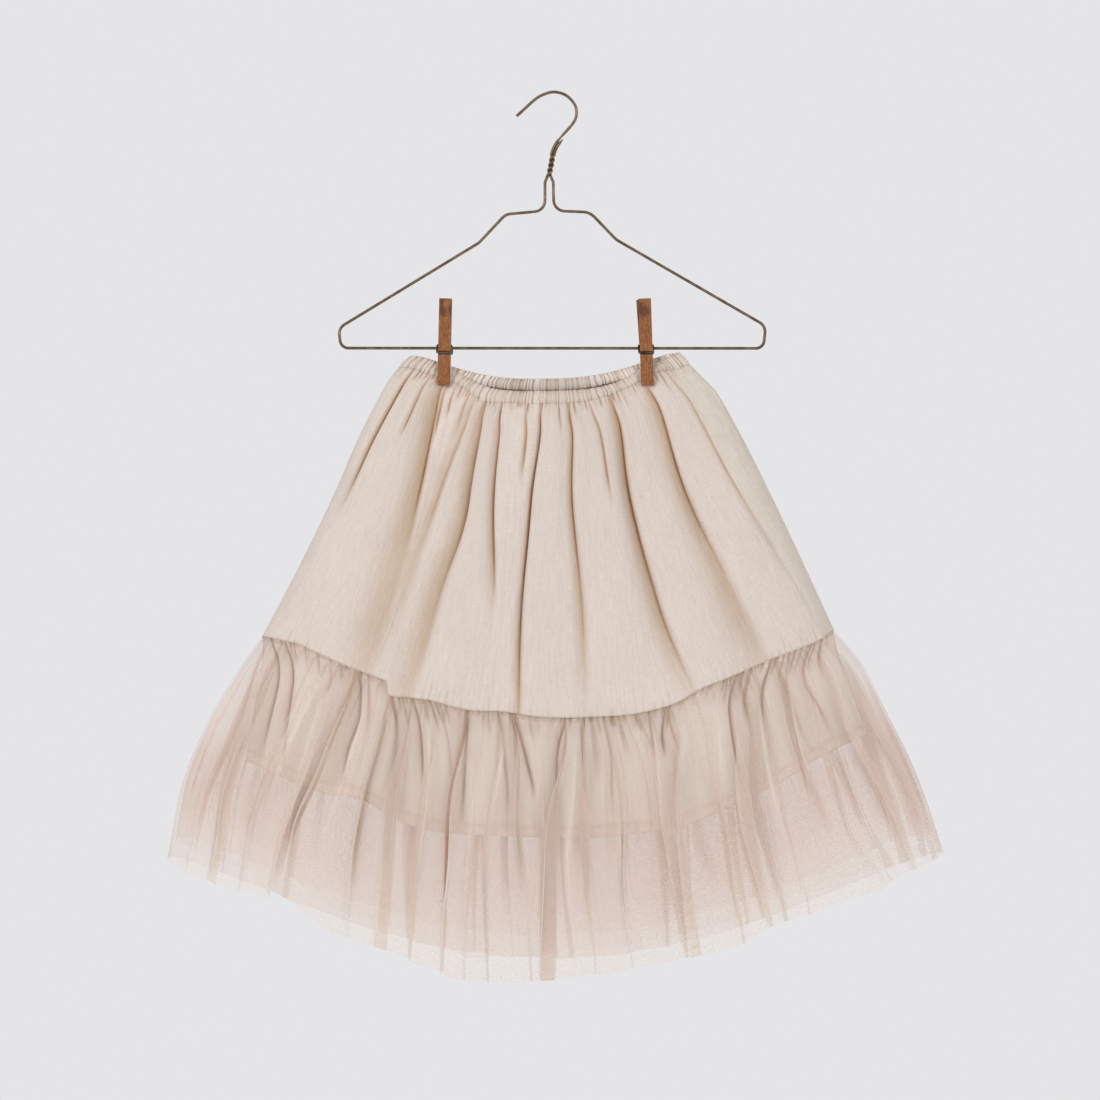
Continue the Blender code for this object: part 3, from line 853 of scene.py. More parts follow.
@dataclass(frozen=True)
class WoodFinish:
    """Stained, oiled wood: fine mottled grain, dark stains, and painted shade in the groove where the spring
    lies.

    groove is the height of the spring's groove, and stained_from is where the stains
    start to show above it, over a height of stain_run.
    """

    name: str = "stained_wood"
    light: Tint = (176, 116, 70)
    dark: Tint = (118, 66, 32)
    # stain is the colour of the real stains, and also of the painted shade in the spring's groove
    stain: Tint = (84, 48, 32)
    groove: float = -219.3
    stained_from: float = -200.0
    stain_run: float = 14.0

    def material(self) -> bpy.types.Material:
        """Make the finish.

        Returns:
            The material.
        """
        recipe = Recipe(self.name)
        grain = recipe.noise(recipe.place(0.9, 0.9, 9.0), 6.0, 0.66)
        mottle = recipe.noise(recipe.place(1.1, 1.1, 1.7), 4.0, 0.65)
        pores = recipe.noise(recipe.place(0.4, 0.4, 2.2), 2.0)
        patch = recipe.noise(recipe.place(6.0, 6.0, 9.0), 2.0)
        figure = recipe.calc("MULTIPLY_ADD", grain, 0.55, recipe.calc("MULTIPLY", mottle, 0.45))
        where = recipe.add("TexCoord", {}, output="Object")
        high = recipe.add("SeparateXYZ", {0: where}, output=2)
        upper = recipe.spread(high, self.stained_from * MM, (self.stained_from + self.stain_run) * MM)
        # Painted shade along the spring's groove, in the stain colour
        groove_shade_distance = recipe.calc("ABSOLUTE", recipe.calc("SUBTRACT", high, self.groove * MM))
        colour = recipe.coats(
            self.light, (recipe.spread(figure, 0.36, 0.62), self.dark),
            (recipe.spread(pores, 0.54, 0.66, 0.0, 0.6), self.stain),
            (recipe.calc("MULTIPLY", upper, recipe.spread(patch, 0.44, 0.62, 0.0, 0.8)), self.stain),
            (recipe.spread(groove_shade_distance, 0.9 * MM, 2.2 * MM, 0.85, 0.0), self.stain))
        recipe.bump(recipe.calc("SUBTRACT", figure, recipe.calc("MULTIPLY", pores, 0.6)), 0.14)
        recipe.set(Base_Color=colour, Roughness=recipe.spread(grain, 0.3, 0.7, 0.5, 0.68),
                   Specular_IOR_Level=0.35)
        return recipe.material


@dataclass(frozen=True)
class MetalFinish:
    """Wire: an uneven, darkened metal, brighter where it has been rubbed."""

    name: str
    bright: Tint
    dull: Tint
    metallic: float
    roughness: float

    def material(self) -> bpy.types.Material:
        """Make the finish.

        Returns:
            The material.
        """
        recipe = Recipe(self.name)
        patch = recipe.noise(recipe.place(7.0, 7.0, 7.0), 5.0, 0.55)
        recipe.bump(recipe.noise(recipe.place(0.5, 0.5, 0.5), 2.0), 0.04)
        recipe.set(Base_Color=recipe.coats(self.bright, (recipe.spread(patch, 0.38, 0.62), self.dull)),
                   Metallic=self.metallic,
                   Roughness=recipe.spread(patch, 0.35, 0.65, self.roughness, self.roughness + 0.16))
        return recipe.material


def level_table(*rows: tuple[float, ...]) -> tuple[Level, ...]:
    """Make a layer's levels from their numbers, in the order of Level's fields."""
    return tuple(Level(*row) for row in rows)


def back_folds(count: int, seed: int, lap: float) -> tuple[Fold, ...]:
    """Spread folds like the front's over a back panel.

    Args:
        count: How many folds.
        seed: Which chance values to use.
        lap: The largest lap, in millimetres.

    Returns:
        The folds from left to right.
    """
    span, draws, steep_flank = 0.93, 7, 1.9
    folds = []
    for index in range(count):
        even = span * (2 * index / (count - 1) - 1)
        start, end, soft, deep, turn, lapped, long = ripple(np.arange(draws) + 11.0 * index, seed)
        turn = math.copysign(1.0, turn + 0.3)
        flanks = (6.5 + 3.5 * soft, steep_flank)
        left, right = flanks if turn > 0 else flanks[::-1]
        top = even + 0.60 / count * start
        foot = even + 0.85 / count * end
        folds.append(Fold(top, between(top, foot, 0.3), between(top, foot, 0.7), foot, 0.75 + 0.3 * deep,
                          left, right, turn * lap * (0.7 + 0.3 * lapped), reach=0.85 + 0.5 * long,
                          firm=0.35 + 0.5 * soft))
    return tuple(folds)


#   side    left   right  front  back  f_drop b_drop lean spread crest
BAND_LEVELS = level_table(
    (-221.3, -121.5, 108.5, 20.0, 7.0, 30.8, 20.0, 3.0, 0.0, 1.0),
    (-225.6, -127.0, 113.0, 21.2, 7.6, 31.2, 20.5, 3.0, 0.0, 1.0),
    (-230.0, -130.0, 116.0, 22.0, 8.0, 31.5, 21.0, 3.0, 0.0, 1.0),
)
LINEN_LEVELS = level_table(
    (-230.0, -130.0, 116.0, 22.0, 8.0, 31.5, 21.0, 3.0, 0.00, 1.0),
    (-241.0, -138.5, 126.5, 23.0, 9.0, 33.0, 23.0, 3.0, 0.00, 3.0),
    (-252.0, -144.7, 137.2, 25.0, 10.0, 35.5, 25.5, 3.0, 0.10, 4.4),
    (-284.0, -161.6, 155.7, 29.0, 13.0, 43.0, 33.0, 4.0, 0.45, 6.2),
    (-334.0, -183.6, 181.0, 33.0, 16.0, 52.0, 42.0, 4.5, 0.85, 7.4),
    (-392.0, -211.5, 208.5, 37.0, 18.5, 61.0, 51.0, 5.0, 1.00, 7.0),
    (-456.3, -245.0, 237.5, 40.0, 20.0, 70.0, 59.0, 6.0, 1.00, 4.5),
)
NET_LEVELS = level_table(
    (-456.3, -245.0, 237.5, 40.0, 20.0, 70.0, 59.0, 6.0, 1.0, 3.5),
    (-484.5, -265.5, 262.0, 41.5, 20.5, 75.0, 64.0, 5.5, 1.0, 5.5),
    (-531.0, -292.0, 284.5, 44.0, 22.0, 82.0, 71.0, 5.0, 1.0, 8.0),
    (-587.0, -313.0, 308.0, 47.0, 23.5, 92.0, 81.0, 4.0, 1.0, 10.0),
    (-643.0, -323.5, 327.0, 50.0, 25.0, 102.0, 91.0, 3.5, 1.0, 12.0),
)
LINING_LEVELS = level_table(
    (-456.5, -241.8, 234.3, 36.8, 16.8, 70.0, 59.0, 6.0, 1.0, 3.5),
    (-506.0, -250.5, 250.0, 38.5, 17.2, 72.0, 61.0, 13.0, 1.0, 6.0),
    (-552.0, -259.0, 265.0, 40.0, 17.5, 76.0, 65.0, 22.0, 1.0, 6.5),
)

LINEN_FOLDS = {
    Side.FRONT: (
        #    top     upper   lower   foot    deep  left  right lap
        Fold(-0.888, -0.918, -0.940, -0.943, 0.95, 4.0, 1.5, 1.6, reach=0.56, firm=-0.6),
        Fold(-0.775, -0.805, -0.820, -0.820, 0.60, 3.0, 1.5, 0.9, reach=0.24),
        Fold(-0.680, -0.636, -0.634, -0.630, 1.00, 13.0, 2.4, 1.1, firm=-1.2),
        Fold(-0.650, -0.618, -0.618, -0.616, 0.60, 2.5, 1.4, 0.8, reach=0.20),
        Fold(-0.593, -0.600, -0.606, -0.606, 0.55, 2.0, 1.2, 0.5, reach=0.12),
        Fold(-0.462, -0.543, -0.588, -0.594, 0.60, 9.0, 2.8, 0.0, reach=1.05),
        Fold(-0.393, -0.396, -0.458, -0.482, 1.00, 11.0, 1.6, 1.6),
        Fold(-0.285, -0.272, -0.236, -0.235, 0.80, 6.0, 1.5, 1.2, reach=0.76, firm=0.35),
        Fold(-0.113, -0.146, -0.160, -0.160, 0.60, 3.0, 1.5, 0.5, reach=0.26),
        Fold(-0.018, -0.092, -0.120, -0.101, 0.95, 4.5, 1.5, 1.6, firm=0.55),
        Fold(0.162, 0.114, 0.128, 0.130, 0.80, 6.0, 1.6, 1.0, reach=1.08, firm=0.25),
        Fold(0.305, 0.302, 0.335, 0.340, 0.55, 3.0, 1.6, 0.5, reach=0.36),
        Fold(0.445, 0.400, 0.430, 0.505, 1.10, 9.5, 1.6, 1.8, reach=1.14, firm=0.55),
        Fold(0.678, 0.654, 0.697, 0.748, 0.95, 11.0, 1.7, 1.5),
        Fold(0.832, 0.852, 0.905, 0.955, 0.40, 3.0, 1.6, 0.4, reach=0.95),
        Fold(0.978, 0.972, 0.975, 0.975, 0.50, 3.0, 1.5, 0.6, reach=0.20),
    ),
    Side.BACK: back_folds(count=15, seed=31, lap=2.2),
}
NET_FOLDS = {
    Side.FRONT: (
        #    top     upper   lower   foot    deep  left  right lap
        Fold(-0.968, -0.936, -0.948, -0.960, 0.85, 7.0, 2.0, 3.0),
        Fold(-0.915, -0.884, -0.888, -0.880, 0.90, 7.0, 2.0, 3.0),
        Fold(-0.712, -0.730, -0.740, -0.750, 0.70, 4.0, 2.0, 0.5, reach=0.16),
        Fold(-0.660, -0.655, -0.685, -0.695, 1.15, 15.0, 2.2, 4.0),
        Fold(-0.545, -0.525, -0.525, -0.525, 1.00, 2.2, 9.0, -4.0, reach=1.2),
        Fold(-0.470, -0.442, -0.432, -0.432, 1.05, 8.0, 2.0, 3.5, reach=0.75),
        Fold(-0.386, -0.345, -0.335, -0.345, 0.35, 4.0, 2.0, 2.0),
        Fold(-0.280, -0.288, -0.296, -0.306, 1.05, 8.0, 2.0, 3.0),
        Fold(-0.170, -0.160, -0.152, -0.152, 0.55, 2.0, 6.0, -0.8),
        Fold(-0.122, -0.084, -0.062, -0.060, 1.00, 4.0, 1.8, 0.8, reach=0.75),
        Fold(0.060, 0.022, 0.010, -0.012, 1.00, 7.0, 2.0, 3.0),
        Fold(0.116, 0.109, 0.106, 0.110, 0.70, 2.0, 5.0, -2.0, reach=0.85),
        Fold(0.193, 0.205, 0.194, 0.190, 0.40, 2.0, 6.0, -3.0),
        Fold(0.310, 0.320, 0.320, 0.320, 0.60, 2.0, 4.0, -1.0, reach=0.20),
        Fold(0.407, 0.382, 0.380, 0.385, 1.00, 2.0, 4.0, -3.0, reach=0.50),
        Fold(0.652, 0.612, 0.605, 0.605, 1.05, 2.2, 9.0, -3.4),
        Fold(0.700, 0.664, 0.656, 0.656, 0.70, 5.0, 2.0, 1.8, reach=0.50),
        Fold(0.782, 0.722, 0.706, 0.704, 1.00, 4.0, 1.8, 1.8, reach=0.60),
        Fold(0.843, 0.812, 0.812, 0.830, 0.35, 4.0, 1.8, 2.5),
        Fold(0.914, 0.872, 0.892, 0.900, 0.55, 5.0, 2.0, 3.0),
    ),
    Side.BACK: back_folds(count=19, seed=61, lap=3.5),
}

SEAM_GATHERS = (Crease(92, 6.0, 34.0, 1.3, 0.6, 91, 0.5), Crease(41, 14.0, 80.0, 2.0, 0.9, 95))
NET_LINES = Crease(34, 40.0, 210.0, 0.2, 0.85, 99)
# Glint lines: painted highlights on the nets, with no depth
NET_GLINTS = Crease(44, 70.0, 230.0, 0.0, 0.55, 103)
LINEN_SETTLE = Settle(0.25, 0.50, 1.7, 3.4, 0.10, 0.30, 1.05, 2.2)
NET_SETTLE = Settle(0.40, 0.85, 1.5, 1.8, 0.45, 0.60, 1.4, 1.1)

# The linen's last long fold is its right side seam, which has come round to the front
RIGHT_SEAM = 14

# How far the front's or back's edges stand above their even curves: places across, and millimetres
BAND_TOP = {
    Side.FRONT: ((-1.00, 0.0), (-0.88, 1.5), (-0.72, 2.8), (-0.61, 2.2), (-0.49, -0.3), (-0.40, -1.0),
                 (-0.24, -0.9), (0.20, -0.7), (0.38, -1.5), (0.58, -1.9), (0.74, 0.0), (0.90, -2.0),
                 (1.00, 0.0)),
    Side.BACK: ((-1.00, 0.0), (-0.55, 0.3), (-0.38, 0.3), (-0.18, 0.0), (0.05, 0.0), (0.28, 0.2),
                (0.46, 0.4), (0.62, 0.2), (1.00, 0.0)),
}
BAND_FOOT = {
    Side.FRONT: ((-1.00, 0.5), (-0.88, 1.4), (-0.72, 3.4), (-0.61, 5.2), (-0.49, 1.5), (-0.40, -1.8),
                 (-0.24, -0.7), (0.20, -0.9), (0.38, 0.8), (0.58, 1.8), (0.74, 3.6), (0.90, -1.8),
                 (1.00, 0.0)),
    Side.BACK: ((-1.00, 0.0), (-0.55, 0.3), (-0.38, 1.7), (-0.18, 0.9), (0.05, 0.4), (0.28, 0.9),
                (0.46, 2.1), (0.62, 1.0), (1.00, 0.0)),
}
LEVEL_EDGE = ((-1.00, 0.0), (1.00, 0.0))
SEAM_EDGE = {
    Side.FRONT: ((-1.000, 0.9), (-0.910, 4.7), (-0.857, 7.0), (-0.720, 6.0), (-0.556, 6.6),
                 (-0.551, -4.7), (-0.480, -0.9), (-0.394, 2.6), (-0.283, 1.9), (-0.150, 4.8),
                 (-0.038, 2.3), (0.150, -0.5), (0.317, -4.4), (0.425, -5.1), (0.549, 0.0),
                 (0.760, -0.8), (0.925, -3.0), (1.000, 0.8)),
    Side.BACK: LEVEL_EDGE,
}
NET_EDGE = {
    Side.FRONT: ((-1.00, -1.3), (-0.94, -4.3), (-0.78, 3.7), (-0.69, 17.0), (-0.64, 10.8), (-0.57, 3.3),
                 (-0.43, 5.8), (-0.22, -4.0), (-0.06, 2.0), (0.12, 7.5), (0.37, 6.7), (0.47, 2.9),
                 (0.54, 9.0), (0.70, 2.4), (0.81, -3.7), (1.00, 0.8)),
    Side.BACK: LEVEL_EDGE,
}
LINING_EDGE = {
    Side.FRONT: ((-1.00, 0.0), (-0.87, -3.0), (-0.75, -2.0), (-0.62, 5.5), (-0.46, -2.6), (-0.11, 3.8),
                 (0.23, -2.0), (0.41, -7.0), (0.67, -6.0), (0.82, -1.5), (1.00, 0.0)),
    Side.BACK: LEVEL_EDGE,
}


def lift(edges: dict[Side, Sequence[tuple[float, float]]], side: Side, across: np.ndarray) -> np.ndarray:
    """Read how far an edge stands above its even curve at places across the panel."""
    places, heights = np.array(edges[side]).T
    return glide(places, heights, across)


@dataclass
class Gathers:
    """The waist's gathers: ribs in the elastic casing and the creases that run on below it.

    A peg grips the cloth flat within peg_near of its middle, and not at all beyond
    peg_far; its grip ends jaw_fade below the jaw.
    """

    ribbing: Crease = Crease(60, 4.0, 13.0, 1.6, 0.75, 5)
    creases: Crease = Crease(27, 9.0, 46.0, 2.0, 0.85, 19)
    rib: float = 1.7
    rib_power: float = 0.55
    rib_height: float = 0.8
    rib_uneven: float = 0.3
    wrinkle: float = 0.12
    wrinkles: int = 4
    rib_middle: float = 0.5
    rib_mean: float = 0.6
    sunk: float = 0.5
    scallop: float = 0.9
    peg_near: float = 5.6
    peg_far: float = 8.5
    jaw_end: float = -247.5
    jaw_fade: float = 7.0

    def ribs(self, across: np.ndarray) -> np.ndarray:
        """How high the casing stands.

        Args:
            across: Places across the panel.

        Returns:
            About 1 on a rib and 0 in a crease between two.
        """
        phase = self.ribbing.phase(across)
        rib = np.abs(np.sin(math.pi * phase)) ** self.rib_power
        uneven = self.rib_height + self.rib_uneven * ripple(phase, 7)
        return rib * uneven + self.wrinkle * ripple(phase * self.wrinkles, 8)

    def edge_out(self, across: np.ndarray) -> np.ndarray:
        """How far the casing's foot and the linen sewn to it stand out, in millimetres."""
        return self.rib * self.ribs(across) - self.sunk

    def edge_up(self, across: np.ndarray) -> np.ndarray:
        """How far the ribs pull the casing's foot up or down, in millimetres."""
        return -self.scallop * (self.ribs(across) - self.rib_middle)

    def clear_of_pegs(self, form: HungForm, arcs: np.ndarray) -> np.ndarray:
        """Where the cloth hangs free of the pegs.

        Args:
            form: The cloth's loops.
            arcs: Distance of every grid point from the left side.

        Returns:
            0 under a jaw and 1 clear of it.
        """
        points = form.place(arcs, 0 * arcs, 0 * arcs)
        grip = np.zeros_like(arcs)
        for peg in PEG_PLACES.values():
            near = 1 - smooth_step(self.peg_near, self.peg_far, np.abs(points[..., 0] - peg))
            grip = np.maximum(grip, near)
        return 1 - grip * (1 - smooth_step(0, self.jaw_fade, self.jaw_end - points[..., 2]))


@dataclass
class Waistband:
    """Elastic casing: cloth that runs up over the elastic and down inside, drawn into ribs.

    face is the share of its strip that lies on each side of the elastic.
    """

    gathers: Gathers
    finishes: dict[Side, LinenFinish]
    columns: int = 760
    rows: int = 19
    face: float = 0.42
    wall: float = 2.1
    puff: float = 0.8
    slant: float = 0.8
    slants: float = 31.0
    top_ruffle: float = 0.6
    even_columns: float = 0.45
    circumference: float = 820.0
    casing: float = 20.0
    end_power: int = 30
    crease_power: float = 1.8
    crease_middle: float = 0.45
    # Painted shade: the inside strength paints a shadow along the casing's inside foot, and the flank, front
    # and back strengths paint shade in and beside the ribs' creases. The seam strength is the stitching.
    inside_from: float = 0.84
    inside_shadow: float = 0.8
    flank_shade: float = 0.55
    seam_from: float = 0.93
    seam_tint: float = 0.15
    front_tint: float = 0.7
    back_tint: float = 1.15

    def build(self) -> list[bpy.types.Object]:
        """Make the front and back of the casing, each with a finish of its own."""
        return [self.panel(side).build(self.finishes[side].material()) for side in Side]

    def panel(self, side: Side) -> Cloth:
        """Work out one half's grid.

        Args:
            side: Front or back.

        Returns:
            The cloth.
        """
        around = np.linspace(0, 1, self.rows)
        inner = around - 1 + self.face
        turn = np.clip((around - self.face) / (1 - 2 * self.face), 0, 1) * math.pi
        down = np.maximum(self.face - around, np.maximum(inner, 0)) / self.face
        form = HungForm(BAND_LEVELS, down, side, self.wall / 2 * (1 - np.cos(turn)))
        turn, down = turn[:, None], down[:, None]
        even = np.linspace(-1, 1, self.columns)
        across = between(np.sin(math.pi / 2 * even), even, self.even_columns)
        across = np.repeat(across[None, :], self.rows, 0)
        arcs = form.arc_at(across)
        free = self.gathers.clear_of_pegs(form, arcs)
        ribs = self.gathers.ribs(across)
        bulge = np.sin(math.pi * down)
        out = np.cos(turn) * (self.gathers.edge_out(across) + self.puff * bulge) * free
        out = out * (1 - np.abs(across) ** self.end_power)
        rise = np.sin(turn) * (self.wall / 2 + self.top_ruffle * (ribs - self.gathers.rib_mean) * free)
        rise = rise + lift(BAND_TOP, side, across) * (1 - down)
        rise = rise + (lift(BAND_FOOT, side, across) + self.gathers.edge_up(across) * free) * down
        slid = self.slant * ripple(across * self.slants, 9) * bulge * free
        points = form.place(np.clip(arcs + slid, 0, form.lengths()), out, rise)
        # Painted shade in the creases between the ribs, and a painted shadow along the inside foot
        crease = np.clip(1 - ribs, 0, 1) ** self.crease_power * free
        crease = crease * between(self.crease_middle, 1, (2 * down - 1) ** 2)
        strong = self.front_tint if side is Side.FRONT else self.back_tint
        inside = smooth_step(self.inside_from, 1.0, down) * (inner > 0)[:, None]
        marks = {
            "fold": np.clip(np.maximum(strong * crease, self.inside_shadow * inside), 0, 1),
            "flank": np.clip(self.flank_shade * strong * crease ** 0.5, 0, 1),
            "seam": self.seam_tint * smooth_step(self.seam_from, 1.0, down) + 0 * arcs,
        }
        return Cloth("elastic_casing", "waistband", "linen", side,
                     ["peg_left_lever_front", "peg_right_lever_front"], points, self.circumference / 2,
                     self.casing, evenly(points, 3), around, marks)


@dataclass
class LinenBody:
    """Front and back linen panels that fall from the gathers in uneven folds.

    Its ramps are shares of its length, counted down from the waist.
    """

    gathers: Gathers
    finish: LinenFinish
    columns: int = 900
    rows: int = 70
    row_crowd: float = 1.3
    last_row: float = 0.985
    hem_rows: tuple[float, ...] = (0.990, 0.994, 0.997, 1.0)
    length: float = 228.0
    circumference: float = 1000.0
    waves: tuple[Wobble, ...] = (Wobble(11.0, 0.9, 0.9, 41), Wobble(5.0, 0.6, 0.8, 45))
    ripples: Wobble = Wobble(34.0, 0.5, 0.5, 42)
    rumples: tuple[Wobble, Wobble] = (Wobble(17.0, 7.0, 0.7, 43), Wobble(3.0, 5.0, 1.0, 44))
    settled: Ramp = (0.04, 0.35)
    smoothed: Ramp = (0.25, 0.90)
    arched: Ramp = (0.02, 0.30)
    freed: Ramp = (0.0, 0.045)
    waist_rise: Ramp = (0.0, 0.30)
    seam_rise: Ramp = (0.62, 1.0)
    rib_rise: Ramp = (0.0, 0.06)
    tucked: Ramp = (0.0, 0.012)
    stitched: Ramp = (0.993, 0.998)
    # Ramps and share of the side strips, which lie a little back and get painted shade
    left_lee: Ramp = (0.40, 0.75)
    right_strip: Ramp = (0.0, 0.012)
    left_strip: Ramp = (0.02, 0.035)
    left_share: float = 0.5
    seam_shown: Ramp = (0.2, 0.4)
    smooth_share: float = 0.5
    valley_share: float = 0.4
    broad_share: float = 0.9
    tuck: float = 0.4
    lee_depth: float = 1.2
    pucker_depth: float = 0.6
    pucker_squeeze: float = 1.8
    crease_power: float = 2.2
    # Strengths of painted shade on fold flanks and round the gathers; seam_tint and side_seam_tint are
    # stitching
    flank_shade: float = 0.9
    gather_shade: float = 0.4
    seam_tint: float = 0.4
    side_seam_tint: float = 0.25
    side_seam_line: float = 0.45
    end_power: int = 24
    feet: dict[Side, tuple[np.ndarray, np.ndarray]] = field(default_factory=dict)

    def foot_out(self, side: Side, folds: FoldSet) -> np.ndarray:
        """How far the linen's foot stands out where another layer is sewn to it.

        Args:
            side: Front or back.
            folds: The other layer's grid.

        Returns:
            The distance, for every column of the layer's first row.
        """
        places, out = self.feet[side]
        return np.interp(folds.arcs[0] * places[-1] / folds.form.arcs[0, -1], places, out)

    def build(self) -> list[bpy.types.Object]:
        """Make the two panels."""
        material = self.finish.material()
        return [self.panel(side).build(material) for side in Side]

    def panel(self, side: Side) -> Cloth:
        """Work out one panel's grid.

        Args:
            side: Front or back.

        Returns:
            The cloth.
        """
        shares = self.last_row * np.linspace(0, 1, self.rows) ** self.row_crowd
        form = HungForm(LINEN_LEVELS, np.concatenate([shares, self.hem_rows]), side)
        folds = FoldSet(LINEN_FOLDS[side], LINEN_SETTLE, form, self.columns)
        across, arcs, down = folds.across, folds.arcs, folds.down
        shape = folds.shape()
        window = folds.window(self.end_power)
        free = self.gathers.clear_of_pegs(form, arcs)
        fine = folds.creased(self.gathers.ribbing, self.length)
        broad = folds.creased(self.gathers.creases, self.length)
        above = (1 - down) * self.length * self.pucker_squeeze
        pucker = SEAM_GATHERS[0].valley(across, above, form.lengths())
        uneven = sum(wave.over(folds) for wave in self.waves) * smooth_step(*self.settled, down)
        calmed = between(1, self.smooth_share, smooth_step(*self.smoothed, down))
        uneven = uneven + self.ripples.over(folds) * calmed
        uneven = uneven + self.rumples[0].over(folds) * self.rumples[1].over(folds)
        height = form.crest * (1 - shape.valley) + uneven * between(1, self.valley_share, shape.valley)
        height = height + folds.arches() * smooth_step(*self.arched, down)
        height = height - self.gathers.ribbing.depth * fine - self.gathers.creases.depth * broad
        # The lee mark paints shade on the side strips that face away from the light, which also lie back;
        # seam marks the stitching.
        marks = {"lee": 0 * arcs, "seam": self.seam_tint * smooth_step(*self.stitched, down) + 0 * arcs}
        if side is Side.FRONT:
            marks["lee"] = self.lee_strip(folds)
            marks["seam"] = np.maximum(marks["seam"], self.side_seam_tint * self.side_seam(folds))
        height = height - self.lee_depth * marks["lee"]
        sewn = self.gathers.edge_out(folds.top)
        height = between(sewn, height, smooth_step(*self.freed, down)) - self.pucker_depth * pucker
        rise = lift(BAND_FOOT, side, across) * (1 - smooth_step(*self.waist_rise, down))
        rise = rise + lift(SEAM_EDGE, side, across) * smooth_step(*self.seam_rise, down)
        rise = rise + self.gathers.edge_up(folds.top) * free * (1 - smooth_step(*self.rib_rise, down))
        moved = np.clip(arcs + shape.slide * window * free, 0, form.lengths())
        out = height * free * window - self.tuck * (1 - smooth_step(*self.tucked, down))
        self.feet[side] = (moved[-1], out[-1])
        points = form.place(moved, out, rise)
        # Painted shade: dark lines in the folds and creases, and shade on fold flanks and round the gathers
        creased = np.clip(np.maximum(fine, self.broad_share * broad), 0, 1) ** self.crease_power
        gathered = self.gather_shade * np.maximum.reduce([fine, broad, pucker])
        marks["fold"] = np.maximum(shape.line, creased) * free
        marks["flank"] = np.maximum(self.flank_shade * shape.flank, gathered) * free
        return Cloth("linen_panel", "skirt", "linen", side, [f"elastic_casing_{side.value}"], points,
                     self.circumference / 2, self.length, evenly(points, self.rows * 3 // 4),
                     form.shares, marks)

    def lee_strip(self, folds: FoldSet) -> np.ndarray:
        """Find the strips beyond the outermost folds, which face away to the sides, for their painted shade
        and recess.

        Args:
            folds: The panel's grid.

        Returns:
            1 in the right strip, up to left_share in the left one and 0 between them.
        """
        right = smooth_step(*self.right_strip, folds.across - folds.lines[RIGHT_SEAM][:, None])
        left = smooth_step(*self.left_strip, folds.lines[0][:, None] - folds.across)
        left_kept = 1 - smooth_step(*self.left_lee, folds.down)
        return np.maximum(right, self.left_share * left * left_kept)

    def side_seam(self, folds: FoldSet) -> np.ndarray:
        """Mark the thin line of the side seam that shows at the right."""
        away = folds.arcs - folds.form.arc_at(folds.lines[RIGHT_SEAM][:, None])
        return np.exp(-(away / self.side_seam_line) ** 2) * smooth_step(*self.seam_shown, folds.down)


